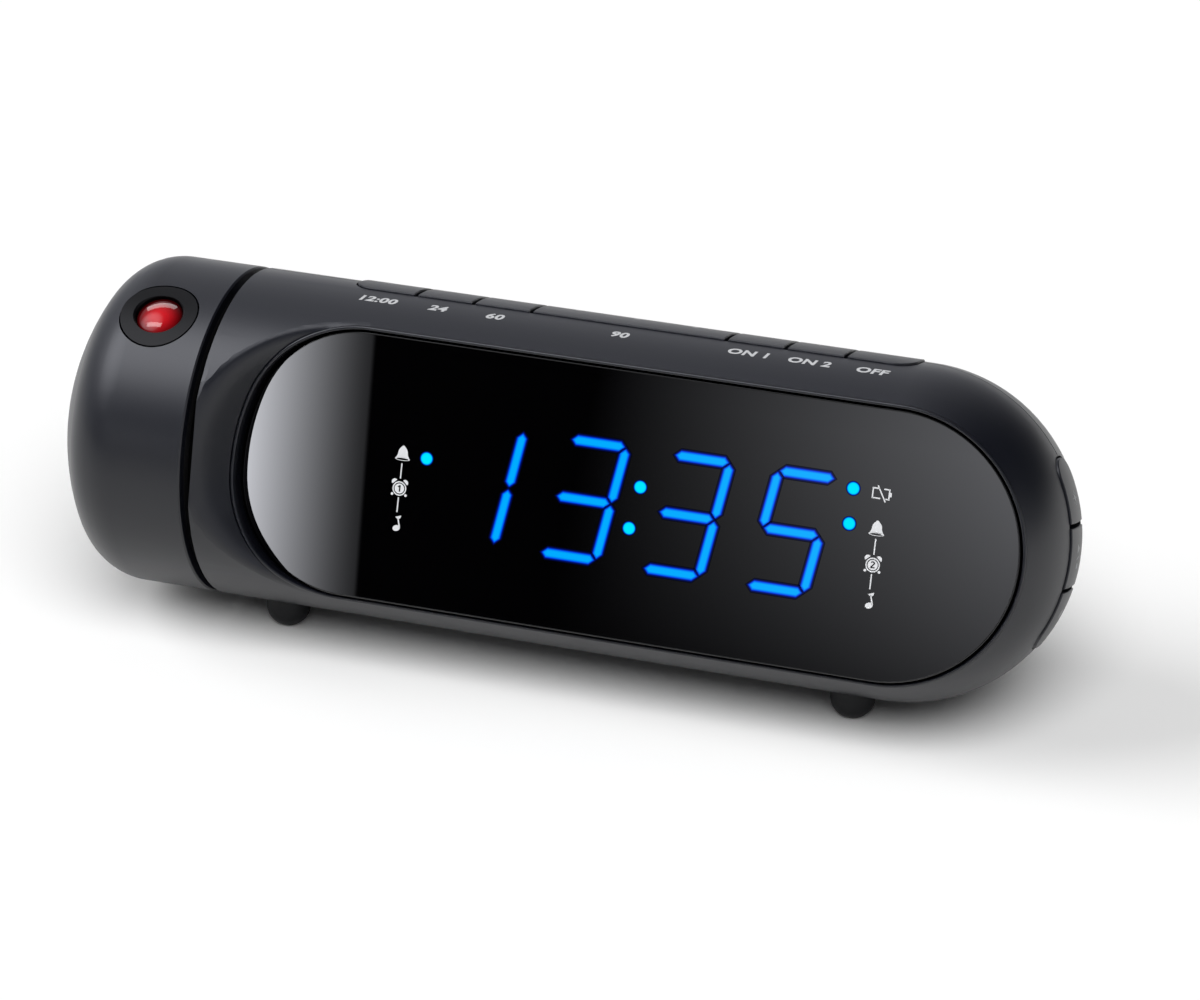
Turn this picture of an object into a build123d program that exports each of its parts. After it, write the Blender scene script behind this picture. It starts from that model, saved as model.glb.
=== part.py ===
from build123d import *

import math
import os

# Projection alarm clock: a lying capsule with a reclined display face and a swivelling projector head.
#
# Units are millimetres. X runs along the clock from the projector head to the rounded end, Y points to
# the back and Z up. The origin is on the table, under the middle of the whole clock.
#
# The body is drawn in its own face frame and then leaned back: there X is the same, Y runs up the
# display face and Z points out of it. The two shells part in that frame's XY plane.

# ---- driving dimensions: overall ----
SHELL_R = 33.0                 # outer radius of body, head and rounded end
BODY_STRAIGHT = 137.2          # from the swivel groove to the centre of the rounded end
GROOVE = 1.9                   # open gap between head and body
HEAD_LEN = 33.7                # head, from the groove to the tip of its domed end
HEAD_CORNER_R = 12.0           # rounding between the drum and its domed end
HEAD_END_R = 50.0              # radius of the shallow dome on the head's end
HEAD_BASE_T = 3.2              # disc that closes the head
HEAD_SCREW_IN = 9.0            # head screws, in from the head's surface
RIM_ROUND = 0.3                # broken edge at the groove
FACE_TILT = 20.0               # lean of the display face, in degrees
WALL = 2.4                     # shell thickness
FOOT_LIFT = 3.0                # table to the lowest line of the shell
SEAM_W = 0.3                   # reveal where the two shells meet
SEAM_DEPTH = 0.4

# ---- display face ----
FACE_DEPTH = 19.0              # window face, from the long axis
FACE_DROP = 0.7                # window centre below the long axis, along the face
WINDOW_HALF = 26.2             # half height of the window
WINDOW_LEFT = 131.1            # window's left tip, from the centre of the rounded end
WINDOW_TIP_R = 42.0            # big arc at the left tip
WINDOW_TIP_DROP = 2.4          # its centre, below the window's centre line
WINDOW_CORNER_R = 22.5         # arcs that join the tip to the long edges
WINDOW_T = 2.0
WINDOW_GAP = 1.2               # open gap round the window
WINDOW_BEVEL = 0.3
LEDGE = 3.2                    # width of the ledge that carries the window
DECK_T = 2.4                   # thickness of the deck under the ledge
GASKET_T = 0.25
GASKET_PLAY = 0.1              # gasket to the pocket's wall
GASKET_LAP = 0.4               # ledge left bare inside the gasket
COLLAR_LIP = 23.1              # shell edge at the window's left tip, from the long axis
COLLAR_RISE = 2.0              # steepness of the shoulder between that edge and the groove
COLLAR_ROUND = 6.0             # softness of the shoulder's top
COLLAR_R = SHELL_R + 0.005     # the shoulder's cut runs this far outside the shell where it takes nothing
COLLAR_BLEND = 4.0             # softness where the shoulder meets the window's edge
COLLAR_LEVEL = 3.0             # depth of that blend, inside the edge

# ---- keys ----
KEY_PROUD = 0.35               # keys stand out of the shell
KEY_TRAVEL = 0.8
KEY_GAP = 0.35                 # key to shell
KEY_SLOT = 0.8                 # key to key
KEY_EDGE = 0.25                # softened key edges
KEY_LIP = 1.0                  # inner flange that keeps a key in its opening
KEY_LIP_T = 1.0
KEY_LIP_PLAY = 0.3
TOP_KEY_HALF_W = 6.6           # half width of the top key opening
TOP_KEY_CORNER_R = 4.5
TOP_KEY_PITCH = 12.0           # small keys
TOP_KEY_LONG = 40.0            # the long snooze bar in the middle
TOP_KEY_END = 13.9             # the two end keys
TOP_ROW_END = 1.3              # right end of the row, left of the rounded end's centre
SIDE_KEY_HALF_W = 5.0
SIDE_KEY_CORNER_R = 4.0
SIDE_KEY_SPAN = 18.8           # half length of the side key opening
STEM_W = 3.0                   # square stem under each key
SWITCH_W = 6.0                 # tactile switch case
SWITCH_H = 3.4
STEM_PLAY = 0.3                # stem in the mouth of its switch

# ---- swivel ----
LENS_ANGLE = 66.0              # projector lens above the front horizontal, in degrees
LENS_FROM_GROOVE = 11.3        # lens centre, from the head's groove side
HUB_R = 9.0
HUB_BORE_R = 6.0
HUB_FIT = 0.08                 # running clearance of the hub in the shells
GROOVE_DEPTH = 4.5             # open depth of the groove, down to the thrust washer
BULKHEAD_T = 3.0               # swivel wall of the body
RETAINER_R = 13.0
RETAINER_T = 1.6
RETAINER_PLAY = 0.1
WASHER_PLAY = 0.05

# ---- projector ----
LENS_R = 4.7
BEZEL_R = 7.75
BEZEL_GAP = 0.35
BARREL_R = 6.0
BEZEL_DEPTH = 4.0              # seat of bezel and lens on the barrel, below the head's surface
BEZEL_FLARE = 0.4              # depth and width of the bezel's broken edge round the lens
LENS_EDGE = 3.0
LENS_SAG = 1.3
OPTIC_WALL = 1.3               # wall of the square light box
OPTIC_L = 31.0                 # length of the light box
BARREL_L = 11.0                # light box to bezel seat
BARREL_RIM = 0.8               # flange that rests on the light box
BARREL_RIM_T = 1.5
BARREL_DIP = 4.0               # barrel inside the light box
BARREL_FIT = 0.05
LCD_IN = 14.0                  # back of the picture slide, in from the front of the light box
LCD_T = 1.1
CONDENSER_IN = 21.0            # back of the condenser lens, in from the front of the light box
CONDENSER_RIM_T = 1.2
CONDENSER_SAG_R = 9.0          # radius of its curved face
CONDENSER_RISE = 2.5
LAMP_BOARD_T = 1.4
LAMP_H = 2.0
LAMP_R = 2.5

# ---- feet ----
FOOT_X_LEFT = 125.7            # from the centre of the rounded end
FOOT_X_RIGHT = 7.5
FOOT_Y = 11.0
FOOT_R = 4.4
FOOT_DOME = 3.9                # height of the domed part
FOOT_SINK = 4.1                # half height of the dome before its tip is cut flat
FOOT_SEAT = 7.2                # seat above the table
FOOT_STEM_R = 1.9
FOOT_STEM_L = 2.4
FOOT_RIM = 0.9                 # wall of the boss round each foot
FIT = 0.1                      # close fit of pieces that stay together

# ---- worked out ----
HEAD_TOTAL = GROOVE + HEAD_LEN
X_END = (BODY_STRAIGHT + HEAD_TOTAL - SHELL_R - KEY_PROUD) / 2     # centre of the rounded end
X_BODY = X_END - BODY_STRAIGHT
X_HEAD = X_BODY - GROOVE
X_TIP = X_HEAD - HEAD_LEN
AXIS_Z = SHELL_R + FOOT_LIFT
INNER_R = SHELL_R - WALL
HEAD_SCREW_OUT = SHELL_R - HEAD_SCREW_IN
WASHER_R = SHELL_R - GROOVE_DEPTH
BEZEL_SEAT = SHELL_R - BEZEL_DEPTH
OPTIC_FRONT = BEZEL_SEAT - BARREL_L
OPTIC_BACK = OPTIC_FRONT - OPTIC_L
OPTIC_R = LENS_FROM_GROOVE - HEAD_BASE_T - OPTIC_WALL              # the light box rests on the head's base
X_LEFT = X_END - WINDOW_LEFT
FLOOR_N = FACE_DEPTH - WINDOW_T - GASKET_T                         # deck top, in the face frame
DECK_N = FLOOR_N - DECK_T
LEAN = math.radians(FACE_TILT)
BIG = 6 * SHELL_R                                                  # beyond everything

FACE = Plane(origin=(0, 0, AXIS_Z), x_dir=(1, 0, 0), z_dir=(0, -math.cos(LEAN), math.sin(LEAN)))
LENS_RAD = math.radians(LENS_ANGLE)
X_LENS = X_HEAD - LENS_FROM_GROOVE
OPTIC = Plane(origin=(X_LENS, 0, AXIS_Z), x_dir=(1, 0, 0),
              z_dir=(0, -math.cos(LENS_RAD), math.sin(LENS_RAD)))
AXLE = Plane(origin=(0, 0, AXIS_Z), x_dir=(1, 0, 0), z_dir=(0, 0, 1))


def keep(name, shape, plane=None):
    """File a sub-part under its node name, moved from its drawing frame to the clock."""
    solids = shape.solids()
    body = Compound(children=solids) if len(solids) > 1 else solids[0]
    body = plane.location * body if plane else body
    export_step(body, f"parts/{name}.step")


def rod(x0, x1, r):
    """A solid cylinder on the long axis."""
    return Pos((x0 + x1) / 2, 0, 0) * Cylinder(r, x1 - x0, rotation=(0, 90, 0))


def block(x0, x1, y0, y1, z0, z1):
    return Pos((x0 + x1) / 2, (y0 + y1) / 2, (z0 + z1) / 2) * Box(x1 - x0, y1 - y0, z1 - z0)


def post(x, y, z0, z1, r):
    return Pos(x, y, (z0 + z1) / 2) * Cylinder(r, z1 - z0)


def capsule(r, x0):
    return rod(x0, X_END, r) + Pos(X_END, 0, 0) * Sphere(r)


# ---- outlines on the display face ----
TIP_X = X_LEFT + WINDOW_TIP_R                                      # centre of the tip arc
TIP_Y = -FACE_DROP - WINDOW_TIP_DROP


def corner(side):
    """Centre of the corner arc above (1) or below (-1) the tip arc, and the direction where the two meet."""
    y = -FACE_DROP + side * (WINDOW_HALF - WINDOW_CORNER_R)
    x = TIP_X - math.sqrt((WINDOW_TIP_R - WINDOW_CORNER_R) ** 2 - (y - TIP_Y) ** 2)
    return x, y, math.atan2(y - TIP_Y, TIP_X - x)


def from_corner(side, r, angle):
    """A point of a corner arc: the angle is measured up from the way towards the tip."""
    x, y, _ = corner(side)
    return x - r * math.cos(angle), y + r * math.sin(angle)


CORNER_X = max(corner(1)[0], corner(-1)[0])                        # the tip's arcs end left of this


def window_outline(grow):
    """The window's outline, grown by a gap: one round end, and a blunter tip made of three arcs."""
    corner_r, half = WINDOW_CORNER_R + grow, WINDOW_HALF + grow
    high, low, right = -FACE_DROP + half, -FACE_DROP - half, X_END + half
    top, bottom = from_corner(1, corner_r, math.pi / 2), from_corner(-1, corner_r, -math.pi / 2)
    aim_up, aim_down = corner(1)[2], corner(-1)[2]
    join_up, join_down = from_corner(1, corner_r, aim_up), from_corner(-1, corner_r, aim_down)
    edge = [
        Line(top, (X_END, high)),
        ThreePointArc((X_END, high), (right, -FACE_DROP), (X_END, low)),
        Line((X_END, low), bottom),
        ThreePointArc(bottom, from_corner(-1, corner_r, (aim_down - math.pi / 2) / 2), join_down),
        ThreePointArc(join_down, (X_LEFT - grow, TIP_Y), join_up),
        ThreePointArc(join_up, from_corner(1, corner_r, (aim_up + math.pi / 2) / 2), top),
    ]
    return make_face(edge)


def tip_distance(x, y):
    """How far a point left of the window's corner centres lies outside its outline."""
    angle = math.atan2(y - TIP_Y, TIP_X - x)
    if corner(-1)[2] < angle < corner(1)[2]:
        return math.hypot(TIP_X - x, y - TIP_Y) - WINDOW_TIP_R
    cx, cy, _ = corner(1 if angle > 0 else -1)
    return math.hypot(max(cx - x, 0), y - cy) - WINDOW_CORNER_R


def soft_min(a, b, k):
    h = max(k - abs(a - b), 0) / k
    return min(a, b) - h * h * k / 4


def soft_max(a, b, k):
    return -soft_min(-a, -b, k)


# ---- shells ----
COLLAR_STEPS = 17
COLLAR_RAYS = 65


def collar_section(x):
    """Section at x of what the shoulder takes off the round shell near the window's tip."""
    points, knots = [], [i / (COLLAR_RAYS - 1) for i in range(COLLAR_RAYS)]
    for knot in knots:
        a = math.pi * (knot - 0.5)
        y, z = COLLAR_R * math.sin(a), COLLAR_R * math.cos(a)
        away = soft_max(tip_distance(x, y) - WINDOW_GAP, -COLLAR_LEVEL, COLLAR_BLEND)
        top = COLLAR_LIP + COLLAR_RISE * away
        points.append(Vector(y, soft_min(z, top, COLLAR_ROUND) if z > COLLAR_ROUND else z))
    low, high = points[0], points[-1]
    above = Polyline(high, (high.X, BIG), (low.X, BIG), low)
    section = Plane(origin=(x, 0, 0), x_dir=(0, 1, 0), z_dir=(1, 0, 0))
    return section * make_face([Edge.make_spline(points, parameters=knots), above])


def front_outer():
    """Everything in front of the parting plane, as if solid."""
    start = X_BODY - 1
    steps = [start + (CORNER_X - start) * i / (COLLAR_STEPS - 1) for i in range(COLLAR_STEPS)]
    half = capsule(SHELL_R, X_BODY) & block(-BIG, BIG, -BIG, BIG, 0, BIG)
    return half - loft([collar_section(x) for x in steps])


def seam():
    """The reveal round the shells' meeting line."""
    ring = capsule(SHELL_R + 1, X_BODY - 1) - capsule(SHELL_R - SEAM_DEPTH, X_BODY - 2)
    return ring & block(-BIG, BIG, -BIG, BIG, -SEAM_W / 2, SEAM_W / 2)


def row_box(x0, x1, half, corner_r, y0, y1):
    """A bar with rounded corners that runs along Y: the shape of the top key opening."""
    bar = RectangleRounded(x1 - x0, 2 * half, corner_r)
    plane = Plane(origin=((x0 + x1) / 2, y0, 0), x_dir=(1, 0, 0), z_dir=(0, 1, 0))
    return extrude(plane * bar, amount=y1 - y0)


def end_box(half_len, half, corner_r, x0, x1):
    """The same along X: the shape of the side key opening."""
    bar = RectangleRounded(2 * half_len, 2 * half, corner_r)
    plane = Plane(origin=(x0, 0, 0), x_dir=(0, 1, 0), z_dir=(1, 0, 0))
    return extrude(plane * bar, amount=x1 - x0)


# Key rows. A slot lies half a slot width each side of its line.
ROW_X1 = X_END - TOP_ROW_END
ROW_X0 = ROW_X1 - 2 * TOP_KEY_END - 4 * TOP_KEY_PITCH - TOP_KEY_LONG
TOP_LENGTHS = [TOP_KEY_END, TOP_KEY_PITCH, TOP_KEY_PITCH, TOP_KEY_LONG,
               TOP_KEY_PITCH, TOP_KEY_PITCH, TOP_KEY_END]
TOP_NAMES = ["key_time", "key_hour", "key_minute", "key_snooze", "key_alarm_1", "key_alarm_2",
             "key_alarm_off"]
SIDE_NAMES = ["key_side_upper", "key_side_middle", "key_side_lower"]
TOP_INNER_Y = math.sqrt(INNER_R ** 2 - (TOP_KEY_HALF_W + KEY_LIP) ** 2)
TOP_BOARD_Y = INNER_R - 9.6    # top face of the key board, up from the axis
TOP_STEM_Y = TOP_BOARD_Y + SWITCH_H
BOARD_T = 1.6
SIDE_BOARD_X = X_END + INNER_R - 16.1     # outer face of the side key board
SIDE_BOARD_HALF = SIDE_KEY_SPAN - 1.8
SIDE_BOARD_HALF_W = SIDE_KEY_HALF_W + 1.5
KEY_RIB = 2.0                  # height and half width of the ribs under the key boards
SIDE_STEM_X = SIDE_BOARD_X + SWITCH_H
SWITCH_WELL = KEY_TRAVEL + 0.4
STEM_DIP = 0.3                 # stem inside its switch at rest
SLOT_HALF = KEY_SLOT / 2
SIDE_KEY_W = 2 * SIDE_KEY_SPAN / 3
KEY_BOARD_HALF = 4.0
TOP_LIP_Y = TOP_INNER_Y - KEY_LIP_PLAY

# Screws that pull the rear shell to the front shell: (x, y on the face), set in from the shell's inside
SCREW_SPOTS = [(X_BODY + 12.7, INNER_R - 7.1), (X_BODY + 12.7, 7.1 - INNER_R),
               (X_END + 6.5, INNER_R - 6.6), (X_END + 6.5, 5.6 - INNER_R)]
SCREW_R = 1.25
SCREW_HEAD_R = 2.4
SCREW_HEAD_T = 1.6
SCREW_BOSS_R = 3.6
SCREW_SINK = 9.0               # screw seat, behind the parting plane
SCREW_JOIN = 2.2               # where the two shells' bosses meet, in front of the parting plane
SCREW_BITE = 6.0               # thread length in the front shell

# Battery bay, centred on a direction below the back of the clock
BAY_AIM = 50.0                 # below the horizontal, in degrees
BAY_FROM_END = 57.0            # bay's middle, from the rounded end's centre
BAY_X = X_END - BAY_FROM_END
DOOR_GAP = 0.3
DOOR_LAP = 1.0                 # door past the tray at each end
DOOR_SIDE_LAP = 0.9
DOOR_CORNER_R = 3.0
GRIP_COUNT = 4                 # finger grooves across the door
GRIP_PITCH = 2.0
GRIP_IN = 5.0                  # first groove, in from the door's end
GRIP_R = 0.5
GRIP_L = 14.0
CELL_R = 5.25
CELL_L = 44.5
CELL_NIB_R = 1.9
CELL_NIB = 0.8
CELL_APART = 0.3               # half gap between the two cells
CELL_OUT = INNER_R - 7.3       # cells' axis, from the long axis
CELL_Y = CELL_R + CELL_APART
TRAY_T = 1.4
TRAY_PLAY = 0.4                # tray's side to the cells
TRAY_BACK = CELL_OUT - CELL_R - 0.45 - TRAY_T      # back of the battery tray, from the long axis
TRAY_TOP = INNER_R - 3.2
TRAY_HALF_W = CELL_Y + CELL_R + TRAY_PLAY          # half width inside the tray
TRAY_HALF_L = CELL_L / 2 + 4.35                    # half length inside the tray, with its contacts
TRAY_RIM = 2.4                 # rim that lies against the shell round the opening
DOOR_HALF_L = TRAY_HALF_L + TRAY_T + DOOR_LAP
DOOR_HALF_W = TRAY_HALF_W + TRAY_T + DOOR_SIDE_LAP
PLATE_HALF_W = 4.0             # contact plates
PLATE_LOW = 5.0
PLATE_HIGH = 3.5
PLATE_T = 0.4
SPRING_R = 1.6
BAY = Plane(origin=(BAY_X, 0, AXIS_Z), x_dir=(1, 0, 0),
            z_dir=(0, math.cos(math.radians(BAY_AIM)), -math.sin(math.radians(BAY_AIM))))

# Back of the body: speaker and power inlet, in the face frame, seen from behind
SPEAKER_FROM_END = 105.0       # from the rounded end's centre
SPEAKER_X = X_END - SPEAKER_FROM_END
SPEAKER_R = 14.0
SPEAKER_SEAT = INNER_R - 4.8   # speaker rim, behind the parting plane
SPEAKER_WALL = 1.6             # ring that holds the speaker
SPEAKER_LIP = 1.0
SPEAKER_RIM_T = 1.2
SPEAKER_BASKET_L = 7.0
BASKET_T = 0.7
MAGNET_R = 6.8
MAGNET_T = 4.5
CONE_R = 12.5
CONE_H = 3.0
CONE_T = 0.6
COIL_R = 4.4
SLOT_COUNT = 7
SLOT_PITCH = 3.2
SLOT_W = 1.5
JACK_FROM_END = 14.0
JACK_X = X_END - JACK_FROM_END
JACK_Y = 2.0
JACK_HALF = 5.5
JACK_BORE_R = 3.1
JACK_PIN_R = 1.0
JACK_FACE = INNER_R - 3.0      # jack's mouth, behind the parting plane
JACK_WALL = 1.6                # frame that holds the jack
JACK_BORE_L = 9.5
JACK_PIN_IN = 1.0              # pin's tip inside the mouth
JACK_L = 13.0
INLET_R = 4.3

# Display, measured on the face
DIGIT_H = 24.6
DIGIT_W = 13.0
DIGIT_PITCH = 20.95
DIGIT_MID = -50.1              # middle of the four digits, from the rounded end's centre
SLANT = math.tan(math.radians(9.0))
SEG_W = 2.1
SEG_SPLIT = 0.35
SEG_T = 0.3
COLON_Y = 4.13
DOT_R = 1.15
INDICATORS = [(-93.2, 2.6), (-7.5, 9.4), (-7.5, 2.6)]
MODULE_N = 15.6                # face of the display module, from the long axis

FOOT_NAMES = ["foot_left_front", "foot_left_back", "foot_right_front", "foot_right_back"]
HUB_END = X_BODY + BULKHEAD_T + RETAINER_PLAY + RETAINER_T + 0.8

BOARD_N = -3.5                 # front face of the main board
FRONT_BOARD_N = 6.5            # front face of the display board
POST_R = 2.0
BOARD_SCREW_R = 0.85
BOARD_SCREW_HEAD_R = 1.7
BOARD_SCREW_HEAD = 1.2
BOARD_SCREW_BITE = 4.0
SCREW_FIT = 0.03               # thread to its hole, drawn plain
HOLE_END = 0.5                 # screw hole past the screw's tip
BOARD_END = 2.0                # both boards run this far past the rounded end's centre
POST_FROM_END = 5.0            # right posts, in from that end

# Display board: edges on the face, clear of the shell's inside, and the posts that carry it
FRONT_BOARD_X = X_BODY + 19.2
FRONT_CHORD = math.sqrt(INNER_R ** 2 - FRONT_BOARD_N ** 2)
FRONT_BOARD_LOW = 3.0 - FRONT_CHORD
FRONT_BOARD_TOP = FRONT_CHORD - 3.5
FRONT_POSTS = [(x, y) for x in (FRONT_BOARD_X + 6.0, X_END + BOARD_END - POST_FROM_END)
               for y in (FRONT_BOARD_LOW + 1.5, FRONT_BOARD_TOP - 1.8)]

# Main board, under the key board's ribs
MAIN_BOARD_X = X_BODY + 16.7
MAIN_BOARD_LOW = 6.1 - INNER_R
MAIN_BOARD_TOP = TOP_BOARD_Y - BOARD_T - KEY_RIB - 0.6
MAIN_POSTS = [(x, y) for x in (MAIN_BOARD_X + 2.5, X_END + BOARD_END - POST_FROM_END)
              for y in (MAIN_BOARD_LOW + 4.0, MAIN_BOARD_TOP - 3.8)]
# Clock chip, radio chip, regulator and crystal: (x from the rounded end's centre, y, length, width, height)
CHIPS = [(-63.0, 0.0, 14.0, 12.0, 2.2), (-91.0, 1.0, 10.0, 10.0, 2.0), (-19.0, -9.0, 10.0, 10.0, 4.0),
         (-44.5, 2.0, 3.0, 8.0, 3.0)]
CAP_COUNT = 3                  # capacitors in a row
CAP_X = X_END - 34.0
CAP_Y = 9.0
CAP_PITCH = 9.0
CAP_R = 3.0
CAP_H = 8.0
RIBS_FROM_END = [103.2, 72.0, 46.0, 15.2]     # ribs under the top key board
RIB_X = [X_END - far for far in RIBS_FROM_END]
SIDE_RIB_Y = 14.0


def key_openings():
    return (row_box(ROW_X0, ROW_X1, TOP_KEY_HALF_W, TOP_KEY_CORNER_R, INNER_R - 3.5, SHELL_R + 5)
            + end_box(SIDE_KEY_SPAN, SIDE_KEY_HALF_W, SIDE_KEY_CORNER_R, X_END + 20, X_END + SHELL_R + 5))


def foot_spots():
    return [(X_END - fx, fy) for fx in (FOOT_X_LEFT, FOOT_X_RIGHT) for fy in (-FOOT_Y, FOOT_Y)]


def in_face(shape):
    """Move a shape from the clock's frame into the face frame."""
    return FACE.location.inverse() * shape


def hub_hole():
    return rod(X_BODY - 1, X_BODY + BULKHEAD_T + 1, HUB_R + HUB_FIT)


def make_front_shell():
    hollow = capsule(INNER_R, X_BODY + BULKHEAD_T) & block(-BIG, BIG, -BIG, BIG, -1, DECK_N)
    shell = front_outer() - hollow
    pocket = extrude(Pos(0, 0, FLOOR_N) * window_outline(WINDOW_GAP), amount=BIG)
    view = extrude(Pos(0, 0, DECK_N - 1) * window_outline(-LEDGE), amount=DECK_T + 2)
    shell = shell - pocket - view - key_openings() - hub_hole()
    for x, y in SCREW_SPOTS:
        boss = post(x, y, SCREW_JOIN, DECK_N, SCREW_BOSS_R) & capsule(SHELL_R - 0.3, X_BODY)
        shell = shell + boss - post(x, y, 0, SCREW_BITE + SCREW_JOIN, SCREW_R)
    for boss in foot_bosses(FOOT_R + FIT + FOOT_RIM + FIT):
        shell -= boss
    for x, y in FRONT_POSTS:
        shell += post(x, y, FRONT_BOARD_N, DECK_N, POST_R)
        shell -= post(x, y, 0, FRONT_BOARD_N + BOARD_SCREW_BITE + HOLE_END, BOARD_SCREW_R)
    return shell - seam()


def foot_bosses(r):
    return [in_face(post(fx, fy, 0, FOOT_SEAT + 2.0, r)) for fx, fy in foot_spots()]


def make_rear_shell():
    ribs = foot_bosses(FOOT_R + FIT + FOOT_RIM)
    ribs += [post(x, y, -BIG / 2, SCREW_JOIN - FIT, SCREW_BOSS_R) for x, y in SCREW_SPOTS]
    ribs += [post(x, y, -BIG / 2, BOARD_N - BOARD_T, POST_R) for x, y in MAIN_POSTS]
    under = TOP_BOARD_Y - BOARD_T
    ribs += [block(x - KEY_RIB, x + KEY_RIB, under - KEY_RIB, under, -BIG / 2, -0.5) for x in RIB_X]
    under = SIDE_BOARD_X - BOARD_T
    ribs += [block(under - KEY_RIB, under, y - KEY_RIB, y + KEY_RIB, -BIG / 2, -0.5)
             for y in (SIDE_RIB_Y, -SIDE_RIB_Y)]
    speaker_ring = post(SPEAKER_X, 0, -BIG / 2, -SPEAKER_SEAT, SPEAKER_R + SPEAKER_WALL)
    ribs.append(speaker_ring - post(SPEAKER_X, 0, -BIG, 0, SPEAKER_R - SPEAKER_LIP))
    h = JACK_HALF + JACK_WALL
    ribs.append(block(JACK_X - h, JACK_X + h, JACK_Y - h, JACK_Y + h, -BIG / 2, 4 - JACK_FACE))
    solid = block(-BIG, BIG, -BIG, BIG, -BIG, 0)
    void = capsule(INNER_R, X_BODY + BULKHEAD_T)
    for rib in ribs:
        void -= rib
    for boss in foot_bosses(FOOT_R + FIT + FOOT_RIM):
        solid += boss
    shell = (capsule(SHELL_R, X_BODY) & solid) - void
    shell = shell - key_openings() - hub_hole()
    shell -= in_face(BAY.location * bay_bar(DOOR_GAP, INNER_R - 4, SHELL_R + 3))
    for x, y in SCREW_SPOTS:
        shell -= post(x, y, -BIG / 2, -SCREW_SINK, SCREW_HEAD_R + 2 * FIT)
        shell -= post(x, y, -BIG / 2, BIG / 2, SCREW_R + FIT)
    for x, y in MAIN_POSTS:
        shell -= post(x, y, BOARD_N - BOARD_T - BOARD_SCREW_BITE - HOLE_END, 0, BOARD_SCREW_R)
    for fx, fy in foot_spots():
        shell -= in_face(post(fx, fy, -1, FOOT_SEAT, FOOT_R + FIT))
        shell -= in_face(post(fx, fy, 0, FOOT_SEAT + FOOT_STEM_L + HOLE_END, FOOT_STEM_R + FIT))
    for i in range(SLOT_COUNT):
        y = (i - (SLOT_COUNT - 1) / 2) * SLOT_PITCH
        half = math.sqrt((SPEAKER_R - 1.5) ** 2 - y ** 2)
        shell -= extrude(Pos(SPEAKER_X, y, -BIG / 2) * SlotOverall(2 * half, SLOT_W), amount=BIG / 2 - 5)
    h = JACK_HALF + FIT
    shell -= block(JACK_X - h, JACK_X + h, JACK_Y - h, JACK_Y + h, -JACK_FACE, 0)
    shell -= post(JACK_X, JACK_Y, -BIG / 2, -10, INLET_R)
    return shell - seam()


def bay_bar(grow, z0, z1):
    """The battery door's outline as a bar along the bay's Z."""
    outline = RectangleRounded(2 * (DOOR_HALF_L + grow), 2 * (DOOR_HALF_W + grow), DOOR_CORNER_R + grow)
    return extrude(Pos(0, 0, z0) * outline, amount=z1 - z0)


# ---- face pieces ----
def make_window():
    plate = extrude(Pos(0, 0, FLOOR_N + GASKET_T) * window_outline(0), amount=WINDOW_T)
    rim = plate.faces().sort_by(Axis.Z)[-1].edges()
    return chamfer(rim, WINDOW_BEVEL)


def make_gasket():
    ring = window_outline(WINDOW_GAP - GASKET_PLAY) - window_outline(GASKET_LAP - LEDGE)
    return extrude(Pos(0, 0, FLOOR_N) * ring, amount=GASKET_T)


def make_display_board():
    board = block(FRONT_BOARD_X, X_END + BOARD_END, FRONT_BOARD_LOW, FRONT_BOARD_TOP,
                  FRONT_BOARD_N - BOARD_T, FRONT_BOARD_N)
    for x, y in FRONT_POSTS:
        board -= post(x, y, -BIG, BIG, BOARD_SCREW_R + FIT)
    return board


def digit_bars(x):
    """The seven bars of one digit centred at x, slim hexagons that lean with the digit."""
    dx, dy = (DIGIT_W - SEG_W) / 2, (DIGIT_H - SEG_W) / 2
    h = SEG_W / 2
    bars = []
    for y in (dy, 0, -dy):
        half = dx - SEG_SPLIT
        bars.append([(-half, y), (-half + h, y + h), (half - h, y + h), (half, y), (half - h, y - h),
                     (-half + h, y - h)])
    for bx in (-dx, dx):
        for y in (-dy / 2, dy / 2):
            half = dy / 2 - SEG_SPLIT
            bars.append([(bx, y - half), (bx + h, y - half + h), (bx + h, y + half - h), (bx, y + half),
                         (bx - h, y + half - h), (bx - h, y - half + h)])
    return [Polyline(*[(x + px + py * SLANT, py) for px, py in bar], close=True) for bar in bars]


def make_display_module():
    half_l = 1.5 * DIGIT_PITCH + DIGIT_W / 2 + 2.6
    mid = X_END + DIGIT_MID
    half_h = DIGIT_H / 2 + 2.0
    return block(mid - half_l, mid + half_l, -FACE_DROP - half_h, -FACE_DROP + half_h, FRONT_BOARD_N,
                 MODULE_N)


def make_display_segments():
    seat = Pos(X_END + DIGIT_MID, -FACE_DROP, MODULE_N)
    bars = [bar for i in range(4) for bar in digit_bars((i - 1.5) * DIGIT_PITCH)]
    parts = [seat * extrude(make_face(bar), amount=SEG_T) for bar in bars]
    parts += [seat * post(y * SLANT, y, 0, SEG_T, DOT_R) for y in (COLON_Y, -COLON_Y)]
    return Compound(children=[p.solid() for p in parts])


def make_indicators():
    return Compound(children=[post(X_END + x, y, FRONT_BOARD_N, MODULE_N + SEG_T, DOT_R + 0.4).solid()
                              for x, y in INDICATORS])


# ---- boards and what stands on them ----
def make_main_board():
    board = block(MAIN_BOARD_X, X_END + BOARD_END, MAIN_BOARD_LOW, MAIN_BOARD_TOP,
                  BOARD_N - BOARD_T, BOARD_N)
    for x, y in MAIN_POSTS:
        board -= post(x, y, -BIG, BIG, BOARD_SCREW_R + FIT)
    return board


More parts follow.
